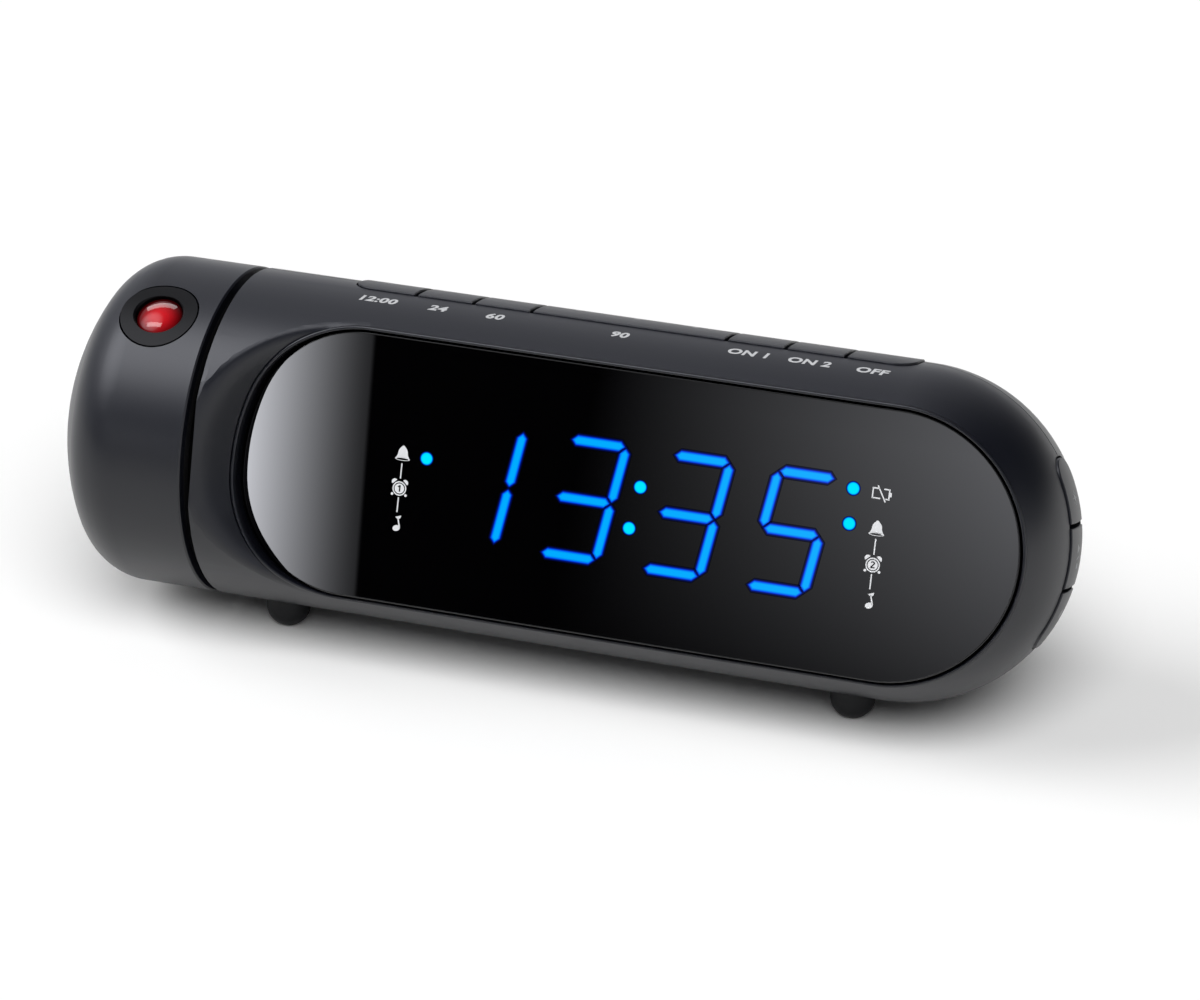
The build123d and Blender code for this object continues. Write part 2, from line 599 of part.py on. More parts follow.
def make_main_parts():
    """Clock chip, radio chip, regulator, crystal and capacitors."""
    parts = []
    for x, y, length, width, height in CHIPS:
        parts.append(Pos(X_END + x, y, BOARD_N + height / 2) * Box(length, width, height))
    for i in range(CAP_COUNT):
        parts.append(post(CAP_X + CAP_PITCH * i, CAP_Y, BOARD_N, BOARD_N + CAP_H, CAP_R))
    return Compound(children=[p.solid() for p in parts])


def screw(x, y, seat, bite, way):
    """A small board screw: its head ends at the seat and its thread runs on, up (1) or down (-1)."""
    head = sorted((seat, seat - way * BOARD_SCREW_HEAD))
    thread = sorted((seat, seat + way * bite))
    return post(x, y, *head, BOARD_SCREW_HEAD_R) + post(x, y, *thread, BOARD_SCREW_R - SCREW_FIT)


def make_board_screws():
    reach = BOARD_T + BOARD_SCREW_BITE
    parts = [screw(px, py, FRONT_BOARD_N - BOARD_T, reach, 1) for px, py in FRONT_POSTS]
    parts += [screw(px, py, BOARD_N, reach, -1) for px, py in MAIN_POSTS]
    return Compound(children=[p.solid() for p in parts])


def make_shell_screws():
    parts = []
    for x, y in SCREW_SPOTS:
        head = post(x, y, -SCREW_SINK - SCREW_HEAD_T, -SCREW_SINK, SCREW_HEAD_R)
        thread = post(x, y, -SCREW_SINK, SCREW_JOIN + SCREW_BITE - HOLE_END, SCREW_R - SCREW_FIT)
        parts.append((head + thread).solid())
    return Compound(children=parts)


# ---- keys ----
def key_ranges(x0, lengths):
    """Start and end of each key in a row, less half a slot where two keys meet."""
    spans, x = [], x0
    for i, length in enumerate(lengths):
        lo = x + (SLOT_HALF if i else 0)
        hi = x + length - (SLOT_HALF if i < len(lengths) - 1 else 0)
        spans.append((lo, hi))
        x += length
    return spans


def soften(key, outside):
    """Round the edges of a key's outer face."""
    rim = [e for e in key.edges() if all(outside(e @ u) for u in (0, 0.5, 1))]
    return fillet(rim, KEY_EDGE)


def make_top_key(x0, x1):
    outline = row_box(ROW_X0 + KEY_GAP, ROW_X1 - KEY_GAP, TOP_KEY_HALF_W - KEY_GAP,
                      TOP_KEY_CORNER_R - KEY_GAP, TOP_LIP_Y - KEY_LIP_T, SHELL_R + 5)
    cap = outline & block(x0, x1, 0, BIG, -BIG, BIG) & rod(X_BODY, X_END + 5, SHELL_R + KEY_PROUD)
    cap = soften(cap, lambda p: math.hypot(p.Y, p.Z) > SHELL_R + KEY_PROUD - 0.01)
    w = TOP_KEY_HALF_W - KEY_GAP + KEY_LIP
    lip = block(x0 + KEY_GAP, x1 - KEY_GAP, TOP_LIP_Y - KEY_LIP_T, TOP_LIP_Y, -w, w)
    mid, h = (x0 + x1) / 2, STEM_W / 2
    return cap + lip + block(mid - h, mid + h, TOP_STEM_Y - STEM_DIP, TOP_LIP_Y, -h, h)


def side_lip_x(y):
    far = abs(y) + SIDE_KEY_W / 2
    return X_END + math.sqrt(INNER_R ** 2 - far ** 2 - (SIDE_KEY_HALF_W + KEY_LIP) ** 2) - KEY_LIP_PLAY


def make_side_key(y0, y1):
    mid, h = (y0 + y1) / 2, STEM_W / 2
    lip_x = side_lip_x(mid)
    outline = end_box(SIDE_KEY_SPAN - KEY_GAP, SIDE_KEY_HALF_W - KEY_GAP, SIDE_KEY_CORNER_R - KEY_GAP,
                      lip_x - KEY_LIP_T, X_END + SHELL_R + 5)
    cap = outline & block(-BIG, BIG, y0, y1, -BIG, BIG) & (Pos(X_END, 0, 0) * Sphere(SHELL_R + KEY_PROUD))
    cap = soften(cap, lambda p: (p - Vector(X_END, 0, 0)).length > SHELL_R + KEY_PROUD - 0.01)
    w = SIDE_KEY_HALF_W - KEY_GAP + KEY_LIP
    lip = block(lip_x - KEY_LIP_T, lip_x, y0 + KEY_GAP, y1 - KEY_GAP, -w, w)
    return cap + lip + block(SIDE_STEM_X - STEM_DIP, lip_x, mid - h, mid + h, -h, h)


def make_key_board():
    return block(ROW_X0 + 3, ROW_X1 - 3, TOP_BOARD_Y - BOARD_T, TOP_BOARD_Y, -KEY_BOARD_HALF, KEY_BOARD_HALF)


def switch_case():
    """A tactile switch case on Z, with a square mouth for the key's stem."""
    h, m = SWITCH_W / 2, STEM_W / 2 + STEM_PLAY
    mouth = block(-m, m, -m, m, SWITCH_H - STEM_DIP - SWITCH_WELL, SWITCH_H + 1)
    return block(-h, h, -h, h, 0, SWITCH_H) - mouth


def make_key_switches():
    cases = []
    for x0, x1 in key_ranges(ROW_X0, TOP_LENGTHS):
        seat = Plane(origin=((x0 + x1) / 2, TOP_BOARD_Y, 0), x_dir=(1, 0, 0), z_dir=(0, 1, 0))
        cases.append((seat.location * switch_case()).solid())
    return Compound(children=cases)


def make_side_switches():
    cases = []
    for y0, y1 in side_ranges():
        seat = Plane(origin=(SIDE_BOARD_X, (y0 + y1) / 2, 0), x_dir=(0, 1, 0), z_dir=(1, 0, 0))
        cases.append((seat.location * switch_case()).solid())
    return Compound(children=cases)


def side_ranges():
    return [(-SIDE_KEY_SPAN + KEY_GAP if i == 0 else lo, SIDE_KEY_SPAN - KEY_GAP if i == 2 else hi)
            for i, (lo, hi) in enumerate(key_ranges(-SIDE_KEY_SPAN, [SIDE_KEY_W] * 3))]


def make_side_board():
    return block(SIDE_BOARD_X - BOARD_T, SIDE_BOARD_X, -SIDE_BOARD_HALF, SIDE_BOARD_HALF,
                 -SIDE_BOARD_HALF_W, SIDE_BOARD_HALF_W)


# ---- back of the body ----
def speaker_rings():
    """Heights of the speaker's stages, from its rim inwards: rim back, basket back, magnet back."""
    front = -SPEAKER_SEAT
    return front, front + SPEAKER_RIM_T, front + SPEAKER_BASKET_L, front + SPEAKER_BASKET_L + MAGNET_T


def frustum(z0, z1, r0, r1):
    return Pos(SPEAKER_X, 0, (z0 + z1) / 2) * Cone(r0, r1, z1 - z0)


def make_speaker_frame():
    front, rim, back, _ = speaker_rings()
    ring = post(SPEAKER_X, 0, front, rim, SPEAKER_R + 0.4) - post(SPEAKER_X, 0, -BIG, BIG, CONE_R)
    basket = frustum(rim, back, CONE_R + BASKET_T, MAGNET_R + BASKET_T)
    basket -= frustum(rim, back, CONE_R, MAGNET_R)
    seat = post(SPEAKER_X, 0, back - BASKET_T, back, MAGNET_R + BASKET_T)
    seat -= post(SPEAKER_X, 0, -BIG, BIG, COIL_R + 0.6)
    return ring + basket + seat


def make_speaker_cone():
    front, _, back, _ = speaker_rings()
    paper = frustum(front, front + CONE_H, CONE_R, COIL_R)
    paper -= Pos(0, 0, -CONE_T) * paper
    return paper + post(SPEAKER_X, 0, front + CONE_H - CONE_T, back, COIL_R)


def make_speaker_magnet():
    _, _, back, end = speaker_rings()
    return post(SPEAKER_X, 0, back, end, MAGNET_R)


def make_jack():
    h = JACK_HALF
    body = block(JACK_X - h, JACK_X + h, JACK_Y - h, JACK_Y + h, -JACK_FACE, -JACK_FACE + JACK_L)
    body -= post(JACK_X, JACK_Y, -BIG, -JACK_FACE + JACK_BORE_L, JACK_BORE_R)
    return body + post(JACK_X, JACK_Y, -JACK_FACE + JACK_PIN_IN, -JACK_FACE + JACK_BORE_L + 0.5, JACK_PIN_R)


def make_tray():
    half_l, half_w = TRAY_HALF_L + TRAY_T, TRAY_HALF_W + TRAY_T
    outer = block(-half_l, half_l, -half_w, half_w, TRAY_BACK, TRAY_TOP)
    rim = (rod(-BIG, BIG, INNER_R - FIT) - rod(-BIG, BIG, INNER_R - TRAY_T)) & bay_bar(TRAY_RIM, 0, BIG)
    room = block(-TRAY_HALF_L, TRAY_HALF_L, -TRAY_HALF_W, TRAY_HALF_W, TRAY_BACK + TRAY_T, BIG)
    return (outer + rim) - room


def make_cells():
    cells = []
    for side in (1, -1):
        y = side * CELL_Y
        can = Pos(0, y, CELL_OUT) * Cylinder(CELL_R, CELL_L - CELL_NIB, rotation=(0, 90, 0))
        nib = Pos(side * CELL_L / 2, y, CELL_OUT) * Cylinder(CELL_NIB_R, 2 * CELL_NIB, rotation=(0, 90, 0))
        cells.append((can + nib).solid())
    return Compound(children=cells)


def make_contacts():
    """One plate per cell end, with a boss that reaches the cell."""
    parts = []
    for end in (1, -1):
        for side in (1, -1):
            y = side * CELL_Y
            reach = CELL_L / 2 + (CELL_NIB if end == side else -CELL_NIB / 2)
            inner, outer = end * (TRAY_HALF_L - PLATE_T), end * TRAY_HALF_L
            plate = block(min(inner, outer), max(inner, outer), y - PLATE_HALF_W, y + PLATE_HALF_W,
                          CELL_OUT - PLATE_LOW, CELL_OUT + PLATE_HIGH)
            spring = rod(min(end * reach, inner), max(end * reach, inner), SPRING_R)
            parts.append((plate + Pos(0, y, CELL_OUT) * spring).solid())
    return Compound(children=parts)


def make_door():
    door = bay_bar(0, 0, BIG) & (rod(-BIG, BIG, SHELL_R) - rod(-BIG, BIG, INNER_R))
    for i in range(GRIP_COUNT):
        x = DOOR_HALF_L - GRIP_IN - GRIP_PITCH * i
        door -= Pos(x, 0, SHELL_R) * Cylinder(GRIP_R, GRIP_L, rotation=(90, 0, 0))
    return door


def make_foot(x, y):
    dome = Pos(x, y, FOOT_DOME) * (scale(Sphere(FOOT_R), by=(1, 1, FOOT_SINK / FOOT_R)) & block(
        -FOOT_R, FOOT_R, -FOOT_R, FOOT_R, -FOOT_DOME, 0))
    neck = post(x, y, FOOT_DOME, FOOT_SEAT, FOOT_R)
    return dome + neck + post(x, y, FOOT_SEAT, FOOT_SEAT + FOOT_STEM_L, FOOT_STEM_R)


# ---- head ----
def head_profile(r, tip_r, corner_r, x_rim, x_tip, rim_round=0):
    """Half outline of the head about its axis: drum, rounded corner and shallow dome."""
    reach = tip_r - corner_r
    drop = math.sqrt(reach ** 2 - (r - corner_r) ** 2)
    xc, yc, xd = x_tip + tip_r - drop, r - corner_r, x_tip + tip_r
    aim = math.atan2(yc, drop)
    join = (xc - corner_r * math.cos(aim), yc + corner_r * math.sin(aim))
    mid = (aim + math.pi / 2) / 2
    lines = [Line((x_rim, 0), (x_rim, r - rim_round))]
    if rim_round:
        lines.append(Line((x_rim, r - rim_round), (x_rim - rim_round, r)))
    lines += [
        Line((x_rim - rim_round, r), (xc, r)),
        ThreePointArc((xc, r), (xc - corner_r * math.cos(mid), yc + corner_r * math.sin(mid)), join),
        ThreePointArc(join, (xd - tip_r * math.cos(aim / 2), tip_r * math.sin(aim / 2)), (x_tip, 0)),
        Line((x_tip, 0), (x_rim, 0)),
    ]
    return revolve(make_face(lines), Axis.X)


def head_screw_spots():
    """Places round the axis that stay clear of the optics, as (y, z)."""
    return [(HEAD_SCREW_OUT * -math.cos(LENS_RAD + a), HEAD_SCREW_OUT * math.sin(LENS_RAD + a))
            for a in (math.radians(100), math.radians(180), math.radians(260))]


def along(y, z, x0, x1, r):
    return Pos(0, y, z) * rod(x0, x1, r)


def optic(shape):
    """Move a shape from the lens frame to the frame on the long axis."""
    return AXLE.location.inverse() * (OPTIC.location * shape)


def make_head_shell():
    shell = head_profile(SHELL_R, HEAD_END_R, HEAD_CORNER_R, X_HEAD, X_TIP, RIM_ROUND)
    void = head_profile(INNER_R, HEAD_END_R - WALL, HEAD_CORNER_R - WALL, X_HEAD + 1, X_TIP + WALL)
    for y, z in head_screw_spots():
        void -= along(y, z, X_TIP, X_HEAD - HEAD_BASE_T, SCREW_BOSS_R)
    shell -= void
    for y, z in head_screw_spots():
        shell -= along(y, z, X_HEAD - HEAD_BASE_T - SCREW_BITE - 1, X_HEAD, SCREW_R)
    return shell - optic(post(0, 0, 0, BIG, BEZEL_R + BEZEL_GAP))


def make_head_base():
    base = rod(X_HEAD - HEAD_BASE_T, X_HEAD, INNER_R - FIT)
    base += rod(X_HEAD, HUB_END, HUB_R)
    base -= rod(X_HEAD - HEAD_BASE_T - 1, HUB_END + 1, HUB_BORE_R)
    for y, z in head_screw_spots():
        base -= along(y, z, X_HEAD - 1.6, X_HEAD + 1, SCREW_HEAD_R + FIT)
        base -= along(y, z, X_HEAD - BIG, X_HEAD, SCREW_R + FIT)
    return base


def make_head_screws():
    return Compound(children=[(along(y, z, X_HEAD - 1.6, X_HEAD - 0.1, SCREW_HEAD_R) + along(
        y, z, X_HEAD - HEAD_BASE_T - SCREW_BITE, X_HEAD - 1.6, SCREW_R - SCREW_FIT)).solid()
        for y, z in head_screw_spots()])


def make_hub_clip():
    x0 = X_BODY + BULKHEAD_T + RETAINER_PLAY
    return rod(x0, x0 + RETAINER_T, RETAINER_R) - rod(x0 - 1, x0 + RETAINER_T + 1, HUB_R + 0.02)


def make_washer():
    return rod(X_HEAD + WASHER_PLAY, X_BODY, WASHER_R) - rod(X_HEAD, X_BODY + 1, HUB_R + 0.3)


def make_bezel():
    bore = LENS_R + FIT
    outer = post(0, 0, BEZEL_SEAT, SHELL_R + 1, BEZEL_R) - post(0, 0, BEZEL_SEAT - 1, BIG, bore)
    outer -= Pos(0, 0, SHELL_R - BEZEL_FLARE / 2) * Cone(bore, bore + BEZEL_FLARE, BEZEL_FLARE)
    drum = OPTIC.location.inverse() * (AXLE.location * rod(X_HEAD - HEAD_LEN, X_HEAD, SHELL_R))
    return outer & drum


def make_lens():
    dome_r = (LENS_R ** 2 + LENS_SAG ** 2) / (2 * LENS_SAG)
    dome = Pos(0, 0, BEZEL_SEAT + LENS_EDGE + LENS_SAG - dome_r) * Sphere(dome_r)
    return (dome & post(0, 0, BEZEL_SEAT, SHELL_R, LENS_R))


def make_barrel():
    tube = post(0, 0, OPTIC_FRONT - BARREL_DIP, BEZEL_SEAT, BARREL_R)
    tube += post(0, 0, OPTIC_FRONT, OPTIC_FRONT + BARREL_RIM_T, BARREL_R + BARREL_RIM)
    return tube - post(0, 0, 0, BIG, LENS_R - 0.5)


def make_light_box():
    o, i = OPTIC_R + OPTIC_WALL, OPTIC_R
    box = block(-o, o, -o, o, OPTIC_BACK, OPTIC_FRONT)
    box -= block(-i, i, -i, i, OPTIC_BACK - 1, OPTIC_FRONT - OPTIC_WALL)
    return box - post(0, 0, 0, BIG, BARREL_R + BARREL_FIT)


def make_lcd():
    i, back = OPTIC_R - FIT, OPTIC_FRONT - LCD_IN
    return block(-i, i, -i, i, back, back + LCD_T)


def make_condenser():
    back = OPTIC_FRONT - CONDENSER_IN
    rim = back + CONDENSER_RIM_T
    flat = post(0, 0, back, rim, OPTIC_R - FIT)
    ball = Pos(0, 0, rim + CONDENSER_RISE - CONDENSER_SAG_R) * Sphere(CONDENSER_SAG_R)
    return flat + (ball & post(0, 0, rim, BIG, OPTIC_R - 1.0))


def make_led_board():
    i, top = OPTIC_R - FIT, OPTIC_BACK + LAMP_BOARD_T
    return block(-i, i, -i, i, OPTIC_BACK, top) + post(0, 0, top, top + LAMP_H, LAMP_R)


FACE_NODES = {
    "front_shell": make_front_shell,
    "rear_shell": make_rear_shell,
    "display_window": make_window,
    "window_gasket": make_gasket,
    "display_board": make_display_board,
    "display_module": make_display_module,
    "display_segments": make_display_segments,
    "indicator_leds": make_indicators,
    "main_board": make_main_board,
    "main_board_parts": make_main_parts,
    "board_screws": make_board_screws,
    "shell_screws": make_shell_screws,
    "key_board": make_key_board,
    "key_switches": make_key_switches,
    "side_key_board": make_side_board,
    "side_key_switches": make_side_switches,
    "speaker_frame": make_speaker_frame,
    "speaker_cone": make_speaker_cone,
    "speaker_magnet": make_speaker_magnet,
    "power_jack": make_jack,
    "thrust_washer": make_washer,
}
BAY_NODES = {
    "battery_tray": make_tray,
    "backup_cells": make_cells,
    "battery_contacts": make_contacts,
    "battery_door": make_door,
}
HEAD_NODES = {
    "head_shell": make_head_shell,
    "head_base": make_head_base,
    "head_screws": make_head_screws,
    "hub_clip": make_hub_clip,
}
OPTIC_NODES = {
    "lens_bezel": make_bezel,
    "projection_lens": make_lens,
    "lens_barrel": make_barrel,
    "light_box": make_light_box,
    "lcd_panel": make_lcd,
    "condenser_lens": make_condenser,
    "projector_led": make_led_board,
}


def build():
    os.makedirs("parts", exist_ok=True)
    for group, plane in ((FACE_NODES, FACE), (BAY_NODES, BAY), (HEAD_NODES, AXLE), (OPTIC_NODES, OPTIC)):
        for name, make in group.items():
            keep(name, make(), plane)
    for name, span in zip(TOP_NAMES, key_ranges(ROW_X0, TOP_LENGTHS)):
        keep(name, make_top_key(*span), FACE)
    for name, span in zip(SIDE_NAMES, reversed(side_ranges())):
        keep(name, make_side_key(*span), FACE)
    for name, (x, y) in zip(FOOT_NAMES, foot_spots()):
        keep(name, make_foot(x, y))


build()
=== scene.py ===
"""Projection alarm clock: finishes, lit display, printed marks, lens and studio."""

from math import atan2, copysign, cos, degrees, dist, hypot, pi, radians, sin, sqrt, tan

import bmesh
import bpy
from bpy.props import FloatProperty, FloatVectorProperty, PointerProperty, StringProperty
from mathutils import Matrix, Vector


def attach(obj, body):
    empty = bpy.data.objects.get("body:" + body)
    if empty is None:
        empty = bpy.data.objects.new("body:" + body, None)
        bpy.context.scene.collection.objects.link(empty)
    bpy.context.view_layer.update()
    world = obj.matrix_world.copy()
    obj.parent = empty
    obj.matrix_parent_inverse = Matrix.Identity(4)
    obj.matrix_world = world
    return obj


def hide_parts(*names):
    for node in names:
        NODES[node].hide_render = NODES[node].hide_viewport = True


bl_info = {
    "name": "Projection Alarm Clock",
    "version": (1, 0, 0),
    "blender": (4, 5, 0),
    "location": "View3D > Sidebar > Alarm Clock",
    "description": "Finishes, lit display, printed marks, lens and studio of a projection alarm clock",
    "category": "Object",
}

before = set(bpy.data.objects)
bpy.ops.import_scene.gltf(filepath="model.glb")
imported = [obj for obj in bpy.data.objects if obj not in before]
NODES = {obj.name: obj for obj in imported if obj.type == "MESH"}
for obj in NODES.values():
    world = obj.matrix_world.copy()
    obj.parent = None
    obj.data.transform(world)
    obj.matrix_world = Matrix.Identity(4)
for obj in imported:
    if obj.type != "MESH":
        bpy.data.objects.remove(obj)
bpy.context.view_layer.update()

MM = 0.001
BODY = "clock"
HEAD = "projector_head"

# Places on the clock, in millimetres, as the solids have them
ROUND_END_X = 69.725           # centre of the rounded end
AXIS_Z = 36.0                  # long axis above the table
SHELL_R = 33.0
FACE_TILT = radians(20.0)
FACE_N = 19.0                  # window face in front of the long axis
LENS_TILT = radians(66.0)
LENS_X = -80.675
PRINT_T = 0.03                 # thickness of printed marks

# The window's outline: a round end, two long edges and a tip of three arcs
WINDOW_HALF = 26.2
WINDOW_DROP = 0.7
WINDOW_LEFT = -131.1
TIP_R = 42.0
TIP_DROP = 2.4
CORNER_R = 22.5
SHOW_N = FACE_N + 0.01         # lit plates and signs lie just in front of the window


def on_face(x, v, n=FACE_N):
    """A point of the display face: x from the rounded end's centre, v up the face, n out of it."""
    s, c = sin(FACE_TILT), cos(FACE_TILT)
    return Vector((ROUND_END_X + x, v * s - n * c, AXIS_Z + v * c + n * s)) * MM


def on_drum(x, arc, r=SHELL_R):
    """A point of the round shell: arc is degrees above the front horizontal."""
    a = radians(arc)
    return Vector((ROUND_END_X + x, -r * cos(a), AXIS_Z + r * sin(a))) * MM


def on_lens(x, y, z):
    """A point in the projector's own frame: z runs out of the lens."""
    s, c = sin(LENS_TILT), cos(LENS_TILT)
    return Vector((LENS_X + x, y * s - z * c, AXIS_Z + y * c + z * s)) * MM


def corner_arc(side):
    """Centre of the arc between the tip and a long edge, and the direction where it meets the tip."""
    v = side * (WINDOW_HALF - CORNER_R) - WINDOW_DROP
    tip_x, tip_v = WINDOW_LEFT + TIP_R, -WINDOW_DROP - TIP_DROP
    x = tip_x - sqrt((TIP_R - CORNER_R) ** 2 - (v - tip_v) ** 2)
    return x, v, atan2(v - tip_v, tip_x - x)


def window_outline(grow, step=1.6):
    """Points round the window, grown by a gap, as (x, v)."""
    def arc(cx, cv, r, start, end):
        count = max(int(abs(end - start) * r / step), 2)
        return [(cx + r * cos(start + (end - start) * i / count),
                 cv + r * sin(start + (end - start) * i / count)) for i in range(count)]

    def line(a, b):
        count = int(dist(a, b) / step)
        return [(a[0] + (b[0] - a[0]) * i / count, a[1] + (b[1] - a[1]) * i / count) for i in range(count)]

    half = WINDOW_HALF + grow
    ux, uv, up = corner_arc(1)
    lx, lv, down = corner_arc(-1)
    low, high = -WINDOW_DROP - half, -WINDOW_DROP + half
    return (arc(0, -WINDOW_DROP, half, -pi / 2, pi / 2) + line((0, high), (ux, high))
            + arc(ux, uv, CORNER_R + grow, pi / 2, pi - up)
            + arc(WINDOW_LEFT + TIP_R, -WINDOW_DROP - TIP_DROP, TIP_R + grow, pi - up, pi - down)
            + arc(lx, lv, CORNER_R + grow, pi - down, 1.5 * pi) + line((lx, low), (0, low)))


def soft_min(a, b, k):
    h = max(k - abs(a - b), 0) / k
    return min(a, b) - h * h * k / 4


SHOULDER_N = 23.225            # the shell's shoulder round the window's tip, out of the long axis
SHOULDER_BLEND = 4.0           # soft change from the shoulder to the round shell


def rim_height(x, v):
    """Height of the shell at the rim of the window's opening, out of the long axis."""
    round_n = sqrt(SHELL_R ** 2 - v ** 2 - max(x, 0) ** 2)
    if x > corner_arc(1)[0] and x > corner_arc(-1)[0]:
        return round_n
    return soft_min(round_n, SHOULDER_N, SHOULDER_BLEND)


# ---------------- node helpers
def link(tree, a, b):
    tree.links.new(a, b)


def set_inputs(node, **values):
    """Constants on a node's own sockets; an underscore stands for a space in a socket's name."""
    for key, value in values.items():
        node.inputs[key.replace("_", " ")].default_value = value


def math_node(tree, op, a, b=None):
    node = tree.nodes.new("ShaderNodeMath")
    node.operation = op
    for socket, value in zip(node.inputs, (a, b)):
        if isinstance(value, (int, float)):
            socket.default_value = value
        elif value is not None:
            link(tree, value, socket)
    return node.outputs[0]


def chained(tree, op, values):
    out = values[0]
    for value in values[1:]:
        out = math_node(tree, op, out, value)
    return out


def product(tree, *values):
    return chained(tree, "MULTIPLY", values)


def total(tree, *values):
    return chained(tree, "ADD", values)


def ramp(tree, value, lo, hi, out_lo=0.0, out_hi=1.0, smooth=True):
    """A fade from out_lo, where the value is lo, to out_hi, where it is hi."""
    node = tree.nodes.new("ShaderNodeMapRange")
    node.interpolation_type = "SMOOTHSTEP" if smooth else "LINEAR"
    link(tree, value, node.inputs["Value"])
    set_inputs(node, From_Min=lo, From_Max=hi, To_Min=out_lo, To_Max=out_hi)
    return node.outputs["Result"]


def group_node(tree, name, **values):
    node = tree.nodes.new("ShaderNodeGroup")
    node.node_tree = bpy.data.node_groups[name]
    set_inputs(node, **values)
    return node


def new_group(name, inputs, outputs):
    """A shader group with named sockets; inputs are (name, kind, default)."""
    tree = bpy.data.node_groups.new(name, "ShaderNodeTree")
    for label, kind, default in inputs:
        socket = tree.interface.new_socket(label, in_out="INPUT", socket_type=kind)
        socket.default_value = default
    for label, kind in outputs:
        tree.interface.new_socket(label, in_out="OUTPUT", socket_type=kind)
    return tree, tree.nodes.new("NodeGroupInput"), tree.nodes.new("NodeGroupOutput")


def object_coords(tree):
    return tree.nodes.new("ShaderNodeTexCoord").outputs["Object"]


def vector_node(tree, op, value):
    node = tree.nodes.new("ShaderNodeVectorMath")
    node.operation = op
    link(tree, value, node.inputs[0])
    return node


def scaled(tree, colour, factor):
    node = vector_node(tree, "SCALE", colour)
    link(tree, factor, node.inputs["Scale"])
    return node.outputs[0]


def noise(tree, coords, scale):
    """Soft noise; its scale, in cycles per metre, is a number or a socket."""
    node = tree.nodes.new("ShaderNodeTexNoise")
    set_inputs(node, Detail=2.0, Roughness=0.55)
    link(tree, coords, node.inputs["Vector"])
    if isinstance(scale, (int, float)):
        set_inputs(node, Scale=scale)
    else:
        link(tree, scale, node.inputs["Scale"])
    return node.outputs["Fac"]


def mix_colour(tree, fac, a, b):
    node = tree.nodes.new("ShaderNodeMix")
    node.data_type = "RGBA"
    for name, value in (("Factor", fac), ("A", a), ("B", b)):
        socket = [s for s in node.inputs if s.name == name and s.enabled][0]
        if isinstance(value, bpy.types.NodeSocket):
            link(tree, value, socket)
        elif isinstance(value, (int, float)):
            socket.default_value = value
        else:
            socket.default_value = (*value[:3], 1.0)
    return [s for s in node.outputs if s.enabled][0]


# Fine relief and its changes, shared by the finishes
DRIFT = 28.0                   # cycles per metre of the slow changes of sheen
STREAK_STRETCH = 0.05          # streaks in metal run along X
STREAK_SHEEN = 0.2
STREAK_SHADE = 0.25
STREAK_COLOUR = (0.12, 0.12, 0.12)
GRAIN_DEPTH = 0.00003          # metres
STREAK_DEPTH = 0.00002
STREAK_BUMP = 0.08
IOR = 1.5


def build_groups():
    """Shared surface effects, each used by several finishes."""
    colour, number = "NodeSocketColor", "NodeSocketFloat"
    surface = [("Colour", colour), ("Roughness", number), ("Height", number)]
    # Spark-eroded mould texture: fine grain with slow changes of sheen
    tree, gin, gout = new_group("Moulded Grain", [
        ("Colour", colour, (0.02, 0.02, 0.02, 1)), ("Roughness", number, 0.4), ("Grain Size", number, 3500.0),
        ("Sheen Change", number, 0.06), ("Tone Change", number, 0.12)], surface)
    coords = object_coords(tree)
    fine = noise(tree, coords, gin.outputs["Grain Size"])
    broad = noise(tree, coords, DRIFT)
    sheen = product(tree, math_node(tree, "SUBTRACT", broad, 0.5), gin.outputs["Sheen Change"])
    tone = product(tree, math_node(tree, "SUBTRACT", fine, 0.5), gin.outputs["Tone Change"])
    link(tree, fine, gout.inputs["Height"])
    link(tree, total(tree, gin.outputs["Roughness"], sheen), gout.inputs["Roughness"])
    link(tree, scaled(tree, gin.outputs["Colour"], total(tree, 1.0, tone)), gout.inputs["Colour"])
    # Brushed or rolled metal: streaks along one axis
    tree, gin, gout = new_group("Drawn Metal", [
        ("Colour", colour, (0.6, 0.6, 0.6, 1)), ("Roughness", number, 0.3), ("Streak Size", number, 900.0)],
        surface)
    stretch = tree.nodes.new("ShaderNodeMapping")
    set_inputs(stretch, Scale=(STREAK_STRETCH, 1.0, 1.0))
    link(tree, object_coords(tree), stretch.inputs["Vector"])
    streak = noise(tree, stretch.outputs["Vector"], gin.outputs["Streak Size"])
    sheen = product(tree, math_node(tree, "SUBTRACT", streak, 0.5), STREAK_SHEEN)
    tone = mix_colour(tree, product(tree, streak, STREAK_SHADE), gin.outputs["Colour"], STREAK_COLOUR)
    link(tree, streak, gout.inputs["Height"])
    link(tree, total(tree, gin.outputs["Roughness"], sheen), gout.inputs["Roughness"])
    link(tree, tone, gout.inputs["Colour"])


def new_material(name, roughness=0.4, metallic=0.0, shine=0.5):
    material = bpy.data.materials.new(name)
    material.use_nodes = True
    shader = material.node_tree.nodes["Principled BSDF"]
    set_inputs(shader, Roughness=roughness, Metallic=metallic, IOR=IOR, Specular_IOR_Level=shine)
    return material, material.node_tree, shader


def cover(tree, shader, group, bump, depth):
    """Give a shader the colour, roughness and relief of one of the shared groups."""
    link(tree, group.outputs["Colour"], shader.inputs["Base Color"])
    link(tree, group.outputs["Roughness"], shader.inputs["Roughness"])
    relief = tree.nodes.new("ShaderNodeBump")
    set_inputs(relief, Strength=bump, Distance=depth)
    link(tree, group.outputs["Height"], relief.inputs["Height"])
    link(tree, relief.outputs["Normal"], shader.inputs["Normal"])


